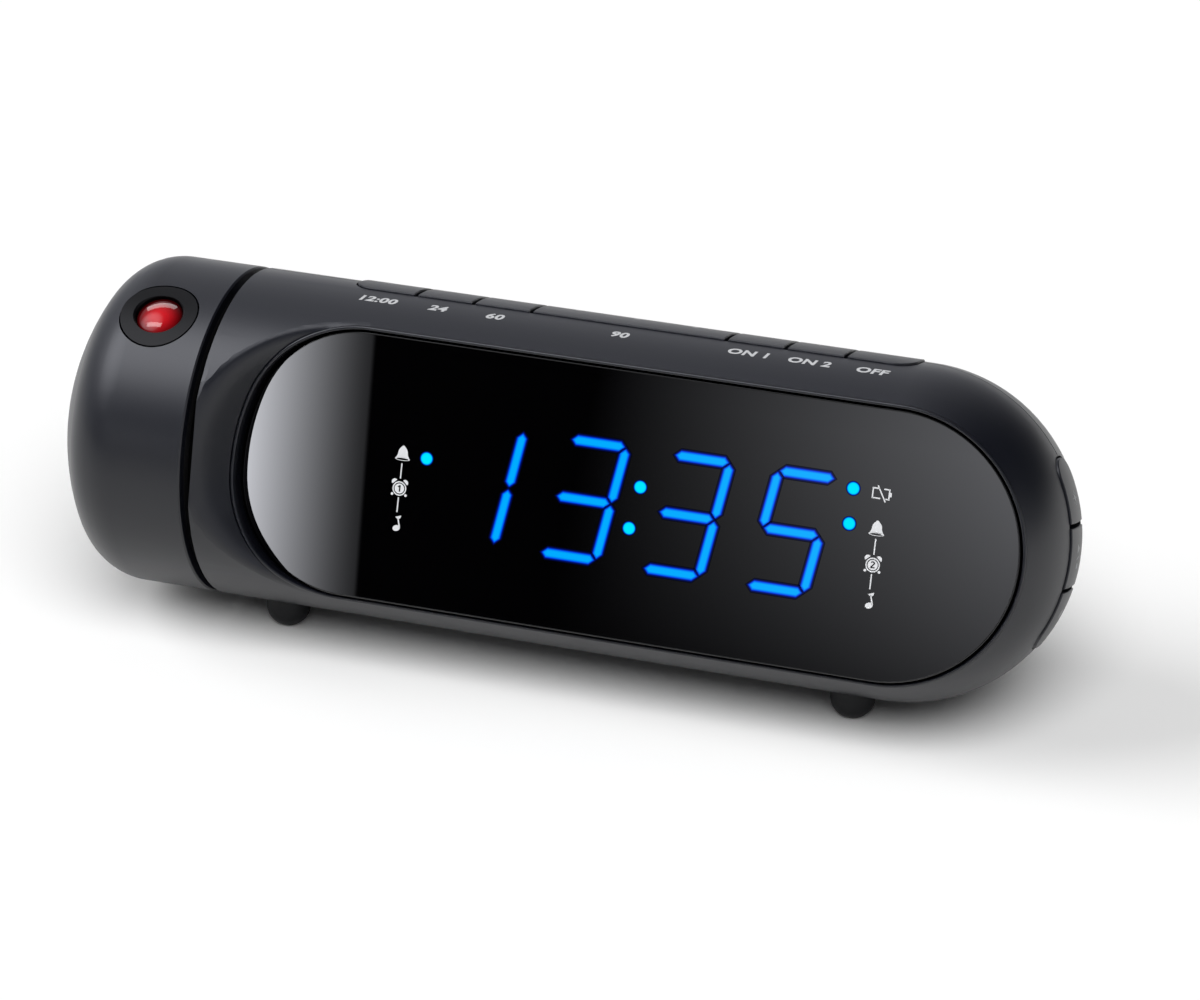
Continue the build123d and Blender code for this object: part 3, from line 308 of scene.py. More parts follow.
def moulded(name, colour, roughness, grain, bump, shine=0.5):
    """Moulded plastic, rubber or print with the shared grain."""
    material, tree, shader = new_material(name, shine=shine)
    group = group_node(tree, "Moulded Grain", Colour=(*colour, 1), Roughness=roughness, Grain_Size=grain)
    cover(tree, shader, group, bump, GRAIN_DEPTH)
    return material


def metal(name, colour, roughness):
    material, tree, shader = new_material(name, metallic=1.0)
    group = group_node(tree, "Drawn Metal", Colour=(*colour, 1), Roughness=roughness)
    cover(tree, shader, group, STREAK_BUMP, STREAK_DEPTH)
    return material


# ---------------- geometry nodes
def geometry_tree(name, part):
    """A tree that reads a part object and a material: its first and last node, and the part's geometry."""
    tree = bpy.data.node_groups.new(name, "GeometryNodeTree")
    for label, kind in (("Geometry", "NodeSocketGeometry"), (part, "NodeSocketObject"),
                        ("Material", "NodeSocketMaterial")):
        tree.interface.new_socket(label, in_out="INPUT", socket_type=kind)
    tree.interface.new_socket("Geometry", in_out="OUTPUT", socket_type="NodeSocketGeometry")
    gin, gout = tree.nodes.new("NodeGroupInput"), tree.nodes.new("NodeGroupOutput")
    source = tree.nodes.new("GeometryNodeObjectInfo")
    link(tree, gin.outputs[part], source.inputs["Object"])
    return tree, gin, gout, source.outputs["Geometry"]


def close_tree(tree, gin, gout, geometry):
    """Realize the instances and set the material, as the last steps of a tree."""
    real = tree.nodes.new("GeometryNodeRealizeInstances")
    coat = tree.nodes.new("GeometryNodeSetMaterial")
    link(tree, geometry, real.inputs[0])
    link(tree, real.outputs[0], coat.inputs["Geometry"])
    link(tree, gin.outputs["Material"], coat.inputs["Material"])
    link(tree, coat.outputs[0], gout.inputs[0])
    return tree


def sweep_tree():
    """Sweep a closed section along a closed path."""
    tree, gin, gout, section = geometry_tree("Swept Trim", "Section")
    path = tree.nodes.new("GeometryNodeMeshToCurve")
    upright = tree.nodes.new("GeometryNodeSetCurveNormal")
    upright.mode = "Z_UP"
    outline = tree.nodes.new("GeometryNodeMeshToCurve")
    sweep = tree.nodes.new("GeometryNodeCurveToMesh")
    link(tree, gin.outputs["Geometry"], path.inputs["Mesh"])
    link(tree, path.outputs[0], upright.inputs["Curve"])
    link(tree, section, outline.inputs["Mesh"])
    link(tree, upright.outputs[0], sweep.inputs["Curve"])
    link(tree, outline.outputs[0], sweep.inputs["Profile Curve"])
    return close_tree(tree, gin, gout, sweep.outputs[0])


def repeat_tree():
    """Set one piece on every point."""
    tree, gin, gout, piece = geometry_tree("Repeated Piece", "Piece")
    points = tree.nodes.new("GeometryNodeMeshToPoints")
    place = tree.nodes.new("GeometryNodeInstanceOnPoints")
    link(tree, gin.outputs["Geometry"], points.inputs["Mesh"])
    link(tree, points.outputs[0], place.inputs["Points"])
    link(tree, piece, place.inputs["Instance"])
    return close_tree(tree, gin, gout, place.outputs[0])


def new_object(name, data):
    obj = bpy.data.objects.new(name, data)
    bpy.context.scene.collection.objects.link(obj)
    return obj


def evaluated_mesh(holder):
    """The plain mesh that a helper object evaluates to; the helper goes."""
    bpy.context.view_layer.update()
    mesh = bpy.data.meshes.new_from_object(holder.evaluated_get(bpy.context.evaluated_depsgraph_get()))
    bpy.data.objects.remove(holder)
    return mesh


def grown(tree, base, place, **values):
    """Mesh that a geometry tree makes from a base mesh, moved point by point onto the clock."""
    holder = new_object(base.name, base)
    step = holder.modifiers.new("Nodes", "NODES")
    step.node_group = tree
    for item in tree.interface.items_tree:
        if item.in_out == "INPUT" and item.name in values:
            step[item.identifier] = values[item.name]
    mesh = evaluated_mesh(holder)
    bpy.data.meshes.remove(base)
    for vert in mesh.vertices:
        vert.co = place(*vert.co)
    bm = bmesh.new()
    bm.from_mesh(mesh)
    bmesh.ops.recalc_face_normals(bm, faces=bm.faces)
    bm.to_mesh(mesh)
    bm.free()
    return mesh


def path_mesh(name, points, closed):
    """Points for a tree to read, joined into a loop if closed."""
    mesh = bpy.data.meshes.new(name)
    count = len(points)
    mesh.from_pydata(points, [(i, (i + 1) % count) for i in range(count)] if closed else [], [])
    return mesh


# ---------------- piece helpers
def finish_piece(name, mesh, material, body, replaces=()):
    obj = new_object(name, mesh)
    mesh.materials.clear()
    mesh.materials.append(material)
    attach(obj, body)
    if replaces:
        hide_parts(*replaces)


def dress(material, *names):
    for name in names:
        node = NODES[name]
        node.data.materials.clear()
        node.data.materials.append(material)


def written(bm, name):
    mesh = bpy.data.meshes.new(name)
    bm.to_mesh(mesh)
    bm.free()
    return mesh


def closed_mesh(bm, name):
    """The finished mesh, with its faces turned outwards."""
    bmesh.ops.recalc_face_normals(bm, faces=bm.faces)
    return written(bm, name)


def slab(polygons, place, lift, thick=PRINT_T):
    """A thin closed slab for each flat outline, laid on a surface by place(x, y, height)."""
    bm = bmesh.new()
    for outline in polygons:
        low = [bm.verts.new(place(x, y, lift)) for x, y in outline]
        top = [bm.verts.new(place(x, y, lift + thick)) for x, y in outline]
        bm.faces.new(top)
        bm.faces.new(low[::-1])
        for i in range(len(outline)):
            j = (i + 1) % len(outline)
            bm.faces.new((low[i], low[j], top[j], top[i]))
    bmesh.ops.recalc_face_normals(bm, faces=bm.faces)
    bmesh.ops.triangulate(bm, faces=[f for f in bm.faces if len(f.verts) > 4])
    return written(bm, "slab")


def ring_strip(outer, inner):
    """A closed band between two outlines of equal count, as quads."""
    count = len(outer)
    return [[outer[i], outer[(i + 1) % count], inner[(i + 1) % count], inner[i]] for i in range(count)]


def circle(cx, cy, r, count=24, squash=1.0, turn=0.0):
    """Points round a circle, or round an ellipse with its long axis turned."""
    c, s = cos(turn), sin(turn)
    out = []
    for i in range(count):
        a = 2 * pi * i / count
        x, y = r * cos(a), r * squash * sin(a)
        out.append((cx + x * c - y * s, cy + x * s + y * c))
    return out


def moved(polygons, dx, dy):
    return [[(dx + x, dy + y) for x, y in polygon] for polygon in polygons]


def bar(x0, y0, x1, y1, width):
    """A straight stroke with square ends."""
    length = hypot(x1 - x0, y1 - y0)
    nx, ny = -(y1 - y0) / length * width / 2, (x1 - x0) / length * width / 2
    return [(x0 + nx, y0 + ny), (x0 - nx, y0 - ny), (x1 - nx, y1 - ny), (x1 + nx, y1 + ny)]


CAPITALS = 0.7                 # height of capitals, as a share of the font's size
TEXT_BOLD = 0.05               # strokes grow by this share of the height
TEXT_SHEAR = 0.12
TEXT_SPACING = 1.04


def text_mesh(text, height, place):
    """Raised characters laid on a surface, centred on place(0, 0)."""
    curve = bpy.data.curves.new("text", "FONT")
    curve.body = text
    curve.size = height / CAPITALS
    curve.space_character = TEXT_SPACING
    curve.align_x, curve.align_y = "CENTER", "CENTER"
    curve.extrude = PRINT_T / 2
    curve.offset = TEXT_BOLD * height
    curve.shear = TEXT_SHEAR
    curve.resolution_u = 3
    mesh = evaluated_mesh(new_object("text", curve))
    bpy.data.curves.remove(curve)
    for vert in mesh.vertices:
        vert.co = place(vert.co.x, vert.co.y, PRINT_T / 2 + vert.co.z)
    return mesh


def join_meshes(name, meshes):
    bm = bmesh.new()
    for mesh in meshes:
        bm.from_mesh(mesh)
        bpy.data.meshes.remove(mesh)
    bmesh.ops.remove_doubles(bm, verts=bm.verts, dist=1e-7)
    return closed_mesh(bm, name)


# ---------------- settings
class ClockFinish(bpy.types.PropertyGroup):
    shell_colour: FloatVectorProperty(
        name="Shell Colour", description="Colour of the moulded shells", subtype="COLOR", size=3,
        min=0, max=1, default=(0.005, 0.0056, 0.0088))
    shell_roughness: FloatProperty(
        name="Shell Roughness", description="How dull the shells are", subtype="FACTOR", min=0, max=1,
        default=0.38)
    window_roughness: FloatProperty(
        name="Window Roughness", description="How dull the display window is", subtype="FACTOR", min=0, max=1,
        default=0.002)
    print_colour: FloatVectorProperty(
        name="Print Colour", description="Colour of the printed marks", subtype="COLOR", size=3,
        min=0, max=1, default=(0.7, 0.71, 0.73))


class ClockDisplay(bpy.types.PropertyGroup):
    digits: StringProperty(name="Time", description="Four digits shown on the display", default="1335")
    digit_height: FloatProperty(
        name="Digit Height", description="Height of a lit digit in millimetres", min=5, max=30, default=24.6)
    digit_width: FloatProperty(
        name="Digit Width", description="Width of a lit digit in millimetres", min=3, max=20, default=13.2)
    digit_pitch: FloatProperty(
        name="Digit Pitch", description="Distance between digits in millimetres", min=5, max=30, default=20.95)
    slant: FloatProperty(
        name="Slant", description="Lean of the digits", subtype="ANGLE", min=0, max=0.5,
        default=radians(9.2))
    bar_width: FloatProperty(
        name="Bar Width", description="Width of one lit bar in millimetres", min=0.5, max=4, default=1.9)
    glow_colour: FloatVectorProperty(
        name="Glow Colour", description="Colour of the lit bars", subtype="COLOR", size=3, min=0, max=1,
        default=(0.0, 0.41, 1.0))
    dot_colour: FloatVectorProperty(
        name="Dot Colour", description="Colour of the colon and indicator dots", subtype="COLOR", size=3,
        min=0, max=1, default=(0.0, 0.8, 1.0))


class ClockStudio(bpy.types.PropertyGroup):
    room_level: FloatProperty(
        name="Room Level", description="Even light from all round", min=0, max=4, default=0.13)
    front_level: FloatProperty(
        name="Front Light", description="Strength of the broad light in front", min=0, max=20, default=2.2)
    side_level: FloatProperty(
        name="Side Light", description="Strength of the broad light on the left", min=0, max=20, default=1.7)
    lamp_shine: FloatProperty(
        name="Lamp Shine", description="Brightness of the soft lamp in reflections", min=0, max=20, default=4.6)
    strip_level: FloatProperty(
        name="Lens Strips", description="Power of the strips that the lens mirrors", subtype="POWER", min=0,
        max=20, default=2.0)
    camera_turn: FloatProperty(
        name="Camera Turn", description="Camera to the right of straight ahead", subtype="ANGLE",
        default=radians(18.578))
    camera_rise: FloatProperty(
        name="Camera Rise", description="Camera above the horizontal", subtype="ANGLE",
        default=radians(27.369))


class ClockSettings(bpy.types.PropertyGroup):
    finish: PointerProperty(type=ClockFinish)
    display: PointerProperty(type=ClockDisplay)
    studio: PointerProperty(type=ClockStudio)


def settings():
    return bpy.context.scene.alarm_clock


# ---------------- mouldings
SHELL_GRAIN = 4200.0           # cycles per metre of the shells' texture
PRINT_GRAIN = 6000.0

# Each finish has its colour, roughness, grain, bump and shine, and the nodes that wear it
FINISHES = (
    ("Foot Rubber", (0.003, 0.0032, 0.004), 0.55, 2600.0, 0.2, 0.25,
     ("foot_left_front", "foot_left_back", "foot_right_front", "foot_right_back")),
    ("Bezel", (0.002, 0.002, 0.0024), 0.42, SHELL_GRAIN, 0.1, 0.16, ("lens_bezel",)),
    # Painted shade: the washer and window gasket are black rubber. They are made near-black and barely shiny so
    # that the groove and the gap round the window read as deep shade.
    ("Groove Washer", (0.001, 0.001, 0.001), 0.8, 3000.0, 0.1, 0.05, ("thrust_washer", "window_gasket")),
    ("Inner Black", (0.02, 0.02, 0.021), 0.5, 3000.0, 0.1, 0.5,
     ("display_module", "battery_tray", "light_box", "lens_barrel", "power_jack", "main_board_parts")),
    ("Bearing Plastic", (0.014, 0.014, 0.015), 0.45, 3000.0, 0.1, 0.5, ("head_base", "hub_clip")),
    ("Solder Mask", (0.02, 0.12, 0.045), 0.35, 1500.0, 0.15, 0.5,
     ("display_board", "main_board", "key_board", "side_key_board")),
    ("Switch Cases", (0.1, 0.1, 0.11), 0.45, 3000.0, 0.1, 0.5, ("key_switches", "side_key_switches")),
    ("Speaker Paper", (0.04, 0.04, 0.042), 0.85, 1200.0, 0.4, 0.5, ("speaker_cone",)),
    ("Cell Sleeve", (0.12, 0.13, 0.16), 0.3, 1200.0, 0.05, 0.5, ("backup_cells",)),
    ("Lamp Board", (0.7, 0.7, 0.68), 0.4, 1500.0, 0.1, 0.5, ("projector_led",)),
    ("Slide Glass", (0.05, 0.055, 0.06), 0.15, 1500.0, 0.02, 0.5, ("lcd_panel", "condenser_lens")),
    ("Lit Bars Inside", (0.02, 0.3, 0.9), 0.4, 1500.0, 0.05, 0.5, ("display_segments", "indicator_leds")),
)
METALS = (("Zinc Screws", (0.55, 0.55, 0.57), 0.3, ("shell_screws", "board_screws", "head_screws")),
          ("Spring Plate", (0.7, 0.68, 0.62), 0.25, ("battery_contacts", "speaker_frame", "speaker_magnet")))

# The smoked window, with a faint change of tone
SMOKE = (0.0004, 0.0004, 0.0006)
SMOKE_HAZE = (0.0007, 0.0006, 0.0008)
HAZE_DRIFT = 60.0              # cycles per metre
HAZE_DULLS = 0.001             # roughness that the haze adds


class CLOCK_OT_mouldings(bpy.types.Operator):
    """Give the shells, keys, feet, window and inner pieces their finishes"""
    bl_idname = "alarm_clock.mouldings"
    bl_label = "Finish Mouldings"

    def execute(self, context):
        build_groups()
        finish = settings().finish
        dress(moulded("Satin Shell", finish.shell_colour, finish.shell_roughness, SHELL_GRAIN, 0.12),
              "front_shell", "rear_shell", "head_shell", "battery_door")
        caps = [c * 0.95 for c in finish.shell_colour]
        dress(moulded("Key Caps", caps, finish.shell_roughness + 0.03, SHELL_GRAIN, 0.12),
              *[n for n in NODES if n.startswith("key_") and n not in ("key_board", "key_switches")])
        for name, colour, roughness, grain, bump, shine, nodes in FINISHES:
            dress(moulded(name, colour, roughness, grain, bump, shine), *nodes)
        for name, colour, roughness, nodes in METALS:
            dress(metal(name, colour, roughness), *nodes)
        self.window(finish.window_roughness)
        return {"FINISHED"}

    def window(self, dull):
        window, tree, shader = new_material("Smoked Window", dull)
        haze = noise(tree, object_coords(tree), HAZE_DRIFT)
        link(tree, mix_colour(tree, haze, SMOKE, SMOKE_HAZE), shader.inputs["Base Color"])
        link(tree, ramp(tree, haze, 0.3, 0.7, dull, dull + HAZE_DULLS), shader.inputs["Roughness"])
        dress(window, "display_window")


# ---------------- window trim
TRIM_MID = 0.8                 # middle of the trim, out from the window's edge
TRIM_W = 0.7
TRIM_H = 2.4
TRIM_SUNK = 0.12               # trim below the shell beside it
TRIM_SIDES = 16
EDGE_R = 0.2                   # rounding of the window's own edge
EDGE_SIDES = 12


class CLOCK_OT_window_trim(bpy.types.Operator):
    """Sweep the slim trim ring that lines the shell's opening, and the window's rounded edge"""
    bl_idname = "alarm_clock.window_trim"
    bl_label = "Make Window Trim"

    def execute(self, context):
        path = [(x, v, rim_height(x, v) - TRIM_SUNK - TRIM_H / 2) for x, v in window_outline(TRIM_MID)]
        r, flat = TRIM_W / 2, TRIM_H / 2 - TRIM_W / 2
        section = []
        for i in range(TRIM_SIDES):
            a = 2 * pi * (i + 0.5) / TRIM_SIDES
            section.append((r * cos(a), r * sin(a) + copysign(flat, sin(a)), 0))
        tree = sweep_tree()
        trim = moulded("Window Trim", settings().finish.shell_colour, 0.3, SHELL_GRAIN, 0.08)
        self.ring(tree, "window_trim", path, section, trim, "shell_black")
        path = [(x, v, FACE_N - EDGE_R) for x, v in window_outline(-EDGE_R)]
        section = [(x, y, 0) for x, y in circle(0, 0, EDGE_R, EDGE_SIDES)]
        self.ring(tree, "window_edge", path, section, bpy.data.materials["Smoked Window"], "window_black")
        return {"FINISHED"}

    def ring(self, tree, name, path, section, material, slot):
        helper = new_object("section", path_mesh("section", section, True))
        mesh = grown(tree, path_mesh(name, path, True), on_face, Section=helper, Material=material)
        bpy.data.objects.remove(helper)
        for face in mesh.polygons:
            face.use_smooth = True
        finish_piece(name, mesh, material, BODY)


# ---------------- lit display
LIT_BARS = {"0": "abcdef", "1": "bc", "2": "abged", "3": "abgcd", "4": "fgbc", "5": "afgcd", "6": "afgedc",
            "7": "abc", "8": "abcdefg", "9": "abfgcd"}
DIGIT_MID = -50.1
DIGIT_DROP = -0.7
BAR_SHORT = 0.3                # a bar ends this far from where two bars' middles meet
TIP_GROWS = 1.25               # a pointed end grows by more than the sides do
RIDGE = 0.4                    # width of the brightest core, as a share of the bar's
GLOW_T = 0.015                 # thickness of a lit plate
DOT_R = 1.15
DOT_SIDES = 28
COLON_RISE = 4.13              # the colon's dots above and below its middle
INDICATORS = ((-93.2, 2.6), (-7.5, 9.4), (-7.5, 2.6))

# Nested outlines from the rim of the halo inwards: growth past a bar's edge or radius of a dot, and how lit
BAR_RINGS = ((0.55, 0.0), (0.12, 0.16), (-0.08, 0.55))
DOT_RINGS = ((DOT_R + 0.3, 0.0), (DOT_R + 0.12, 0.3), (DOT_R - 0.05, 0.8), (DOT_R * 0.65, 1.0))

BAR_EDGE = (0.0, 0.04, 0.85)   # colour towards the edge of the light
DOT_EDGE = (0.0, 0.06, 0.8)
BAR_SHINE, DOT_SHINE = 0.12, 0.0


def bar_outline(half_length, half_width, grow):
    """Corners of one bar along X with pointed ends, grown by a rim."""
    tip, h = half_length + grow * TIP_GROWS, half_width + grow
    return [(-tip, 0), (-tip + h, h), (tip - h, h), (tip, 0), (tip - h, -h), (-tip + h, -h)]


def glow_patch(bm, rings, place):
    """A thin closed plate of nested outlines; each ring carries how strongly it is lit."""
    layer = bm.verts.layers.float.get("lit") or bm.verts.layers.float.new("lit")
    base = [bm.verts.new(place(x, y, 0.0)) for x, y in rings[0][0]]
    bm.faces.new(base[::-1])
    previous = base
    for outline, lit in rings:
        verts = [bm.verts.new(place(x, y, GLOW_T)) for x, y in outline]
        for vert in verts:
            vert[layer] = lit
        for i in range(len(verts)):
            j = (i + 1) % len(verts)
            bm.faces.new((previous[i], previous[j], verts[j], verts[i]))
        previous = verts
    bm.faces.new(previous)


class CLOCK_OT_lit_display(bpy.types.Operator):
    """Make the lit digits, colon and indicator dots as the window shows them"""
    bl_idname = "alarm_clock.lit_display"
    bl_label = "Make Lit Display"

    def glow_material(self, name, colour, edge, shine):
        material, tree, shader = new_material(name, settings().finish.window_roughness, shine=shine)
        set_inputs(shader, Base_Color=(*SMOKE, 1), Emission_Strength=1.0)
        lit = tree.nodes.new("ShaderNodeAttribute")
        lit.attribute_name = "lit"
        level = lit.outputs["Fac"]
        tone = mix_colour(tree, ramp(tree, level, 0.45, 1.0), edge, colour)
        link(tree, scaled(tree, tone, ramp(tree, level, 0.0, 0.6)), shader.inputs["Emission Color"])
        return material

    def digits(self, show, lean):
        dx, dy = (show.digit_width - show.bar_width) / 2, (show.digit_height - show.bar_width) / 2
        half_w = show.bar_width / 2
        across, down = dx - BAR_SHORT, dy / 2 - BAR_SHORT
        bars = {"a": (0, dy, 0), "g": (0, 0, 0), "d": (0, -dy, 0), "b": (dx, dy / 2, 1), "c": (dx, -dy / 2, 1),
                "f": (-dx, dy / 2, 1), "e": (-dx, -dy / 2, 1)}
        bm = bmesh.new()
        for i, digit in enumerate(show.digits):
            for key in LIT_BARS[digit]:
                cx, cy, upright = bars[key]

                def place(x, y, h, left=DIGIT_MID + (i - 1.5) * show.digit_pitch, cx=cx, cy=cy, upright=upright):
                    u, w = (y, x) if upright else (x, y)
                    u, w = u + cx, w + cy
                    return on_face(left + u + w * lean, DIGIT_DROP + w, SHOW_N + h)

                core = (half_w * (RIDGE - 1), 1.0)
                rings = [(bar_outline(down if upright else across, half_w, grow), lit)
                         for grow, lit in (*BAR_RINGS, core)]
                glow_patch(bm, rings, place)
        return closed_mesh(bm, "lit_digits")

    def dots(self, lean, material):
        spots = [(DIGIT_MID + y * lean, DIGIT_DROP + y) for y in (COLON_RISE, -COLON_RISE)] + list(INDICATORS)
        bm = bmesh.new()
        glow_patch(bm, [(circle(0, 0, r, DOT_SIDES), lit) for r, lit in DOT_RINGS], lambda x, y, h: (x, y, h))
        helper = new_object("lit_dot", closed_mesh(bm, "lit_dot"))
        points = path_mesh("lit_dots", [(x, v, SHOW_N) for x, v in spots], False)
        mesh = grown(repeat_tree(), points, on_face, Piece=helper, Material=material)
        bpy.data.objects.remove(helper)
        return mesh

    def execute(self, context):
        show = settings().display
        lean = tan(show.slant)
        mesh = self.digits(show, lean)
        material = self.glow_material("Lit Bars", show.glow_colour, BAR_EDGE, BAR_SHINE)
        finish_piece("lit_digits", mesh, material, BODY)
        material = self.glow_material("Lit Dots", show.dot_colour, DOT_EDGE, DOT_SHINE)
        finish_piece("lit_dots", self.dots(lean, material), material, BODY)
        return {"FINISHED"}


# ---------------- printed marks
def bell_sign():
    """A hand bell with a knob, round shoulders and an open rim."""
    side = [(0.0, 1.71), (0.2, 1.66), (0.31, 1.5), (0.5, 1.3), (0.72, 1.08), (0.88, 0.8), (0.96, 0.5),
            (0.99, 0.19), (1.04, -0.1), (1.15, -0.37), (1.37, -0.7)]
    dome = side + [(-x, y) for x, y in side[:0:-1]]
    return [dome] + ring_strip(circle(0, -0.92, 1.54, 28, 0.23), circle(0, -0.96, 1.26, 28, 0.17))


def alarm_sign():
    """A round alarm clock with two bells on top and two feet."""
    polygons = ring_strip(circle(0, 0, 1.42, 36), circle(0, 0, 1.19, 36))
    polygons.append(circle(0, 0, 0.99, 32))
    for side in (1, -1):
        ear = []
        for i in range(13):
            a = radians(-48 + 180 * i / 12) * side
            ear.append((side * 1.08 + 0.62 * sin(a), 1.24 + 0.62 * cos(a)))
        polygons.append(ear)
        polygons.append(circle(side * 1.4, -1.2, 0.28, 14))
    return polygons


def note_sign():
    """An eighth note with its stem leaning back and a flag on top."""
    return [circle(0.2, -1.12, 0.78, 22, 0.74, radians(20)), bar(0.86, -0.95, 0.3, 1.0, 0.27),
            [(-0.24, 1.05), (0.94, 1.46), (0.86, 0.95), (0.42, 0.55)]]


def battery_sign():
    """An empty cell, struck through."""
    w, h, t = 1.62, 0.95, 0.26
    return [bar(-w, h, -0.35, h, t), bar(0.55, h, w, h, t), bar(-w, -h, -0.05, -h, t), bar(0.95, -h, w, -h, t),
            bar(-w, -h - t / 2, -w, h + t / 2, t), bar(w, -h - t / 2, w, h + t / 2, t),
            bar(w + 0.3, -0.42, w + 0.3, 0.42, 0.34), bar(-0.75, 1.5, 1.0, -1.55, 0.25)]


# Small figures as strokes, for the dials of the signs
FIGURES = {"1": [bar(0.08, -0.62, 0.08, 0.66, 0.3), bar(0.1, 0.6, -0.32, 0.3, 0.24)],
           "2": [bar(-0.36, 0.42, -0.1, 0.64, 0.24), bar(-0.12, 0.6, 0.2, 0.6, 0.24),
                 bar(0.16, 0.62, 0.34, 0.3, 0.26), bar(0.36, 0.36, -0.34, -0.48, 0.27),
                 bar(-0.42, -0.5, 0.44, -0.5, 0.26)]}
FIGURE_T = 0.01
# Each column of signs: its number, its place, and how high its bell, clock and note stand
COLUMNS = (("1", -98.15, 2.75, -4.05, -10.75), ("2", -2.0, 2.3, -4.6, -11.3))
BATTERY_V = 9.2
TIE_W = 0.25                   # width of the lines between signs


class CLOCK_OT_window_marks(bpy.types.Operator):
    """Print the function signs on the display window"""
    bl_idname = "alarm_clock.window_marks"
    bl_label = "Print Window Signs"

    def execute(self, context):
        white = moulded("White Print", settings().finish.print_colour, 0.45, PRINT_GRAIN, 0.05)
        dark = bpy.data.materials["Smoked Window"]
        for number, x, bell_v, clock_v, note_v in COLUMNS:
            polygons = moved(bell_sign(), x, bell_v) + moved(alarm_sign(), x, clock_v)
            polygons += moved(note_sign(), x, note_v)
            polygons.append(bar(x, bell_v - 1.82, x, clock_v + 2.0, TIE_W))
            polygons.append(bar(x, clock_v - 1.75, x, note_v + 2.0, TIE_W))
            if number == "2":
                polygons += moved(battery_sign(), x, BATTERY_V)
            finish_piece("window_signs_" + number, slab(polygons, on_face, SHOW_N), white, BODY)
            figure = slab(moved(FIGURES[number], x, clock_v), on_face, SHOW_N + PRINT_T, FIGURE_T)
            finish_piece("window_figure_" + number, figure, dark, BODY)
        return {"FINISHED"}


LABEL_ARC = 90.6               # degrees above the front horizontal
LABEL_H = 2.2
LABEL_WIDE = 1.12              # letters are wider than the font's
LABELS = (("12:00", -109.6), ("24", -96.9), ("60", -85.1), ("90", -59.4), ("ON 1", -33.2), ("ON 2", -21.1),
          ("OFF", -8.6))
KEY_R = SHELL_R + 0.35         # top of the keys
KEY_MARK_ARC = 111.5
KEY_MARK_LIFT = 0.005
KEY_MARK_T = 0.02


def arrow_sign(way):
    """An open arrow head; way is 1 if it points left, -1 if right."""
    return [bar(0.9 * way, side * 0.9, -0.7 * way, 0, 0.3) for side in (1, -1)]


def moon_sign():
    arc = circle(0, 0, 1.2, 24)[4:21]
    return arc + [(x * 0.55 + 0.35, y) for x, y in arc[::-1]][1:-1]


def sun_sign():
    ways = [pi * i / 4 for i in range(8)]
    rays = [bar(cos(a) * 0.8, sin(a) * 0.8, cos(a) * 1.35, sin(a) * 1.35, 0.26) for a in ways]
    return rays + [circle(0, 0, 0.6, 16)]


def play_sign():
    """A triangle, a stroke and a dot, one above the other."""
    return [[(-0.7, 2.7), (-0.7, 0.7), (1.0, 1.7)], bar(-0.9, -0.35, 0.9, 0.1, 0.25), circle(0, -1.7, 0.6, 16)]


class CLOCK_OT_shell_marks(bpy.types.Operator):
    """Print the figures and signs beside and on the top keys"""
    bl_idname = "alarm_clock.shell_marks"
    bl_label = "Print Shell Marks"

    def printed(self, name, share):
        """A print finish at a share of the print's brightness."""
        return moulded(name, [c * share for c in settings().finish.print_colour], 0.5, PRINT_GRAIN, 0.05)

    def execute(self, context):
        meshes = []
        grey = self.printed("Grey Print", 0.8)
        for text, x in LABELS:
            def place(px, py, h, x=x):
                return on_drum(x + px * LABEL_WIDE, LABEL_ARC + degrees(py / SHELL_R), SHELL_R + h)
            meshes.append(text_mesh(text, LABEL_H, place))
        finish_piece("strip_marks", join_meshes("strip_marks", meshes), grey, BODY)
        self.key_marks()
        return {"FINISHED"}

    def key_marks(self):
        """Faint signs on the keys, each riding on its own key."""
        faint = self.printed("Faint Print", 0.3)
        dial = ring_strip(circle(0, 0, 1.3, 28), circle(0, 0, 1.05, 28))
        hands = [bar(0, 0, 0, 0.8, 0.24), bar(0, 0, 0.6, 0, 0.24)]
        moon = [moon_sign()]
        on_top = (("time", -110.5, dial + hands), ("hour", -97.8, arrow_sign(1)),
                  ("minute", -86.2, arrow_sign(-1)),
                  ("snooze", -59.2, moved(moon, -12, 0) + moon + moved(moon, 12, 0)), ("alarm_1", -33.2, dial),
                  ("alarm_2", -21.2, dial), ("alarm_off", -8.3, [bar(-1.2, 0, 1.2, 0, 0.3)]))
        for key, x, sign in on_top:
            def place(px, py, h, x=x):
                return on_drum(x + px, KEY_MARK_ARC + degrees(py / KEY_R), KEY_R + h)
            self.key_mark(key, sign, place, faint)
        on_end = (("side_upper", 11.3, sun_sign()), ("side_middle", 0.0, play_sign()),
                  ("side_lower", -11.3, [circle(0, 0, 0.9, 20)]))
        for key, v, sign in on_end:
            def place(px, py, h, v=v):
                far = sqrt(KEY_R ** 2 - px ** 2 - (v + py) ** 2)
                size = (KEY_R + h) / KEY_R
                return on_face(far * size, (v + py) * size, -px * size)
            self.key_mark(key, sign, place, faint)

    def key_mark(self, key, sign, place, material):
        mesh = slab(sign, place, KEY_MARK_LIFT, KEY_MARK_T)
        finish_piece("mark_" + key, mesh, material, "key_" + key + "_body")


# ---------------- projector lens
# The lens in section, as (radius, height out of the long axis)
LENS_PROFILE = ((0.0, 33.3), (1.2, 33.21), (2.4, 32.96), (3.3, 32.65), (4.1, 32.27), (4.45, 32.05),
                (4.64, 31.8), (4.68, 30.4), (4.4, 29.2), (0.0, 29.2))
LENS_SIDES = 64
# Painted light: the lens's base colour is bright red round one point right of and below its middle, and fades to
# dark red towards the edges. The bright core is a painted glow and the dark rim is painted shade.
LENS_PAINTED_GLOW_AT = (0.4, -1.0, 33.0)
LENS_PAINTED_GLOW_FADE = (0.0008, 0.005)            # metres from there
LENS_PAINTED_LIT_RED = (0.34, 0.004, 0.008)
LENS_PAINTED_SHADE_RED = (0.02, 0.0006, 0.001)


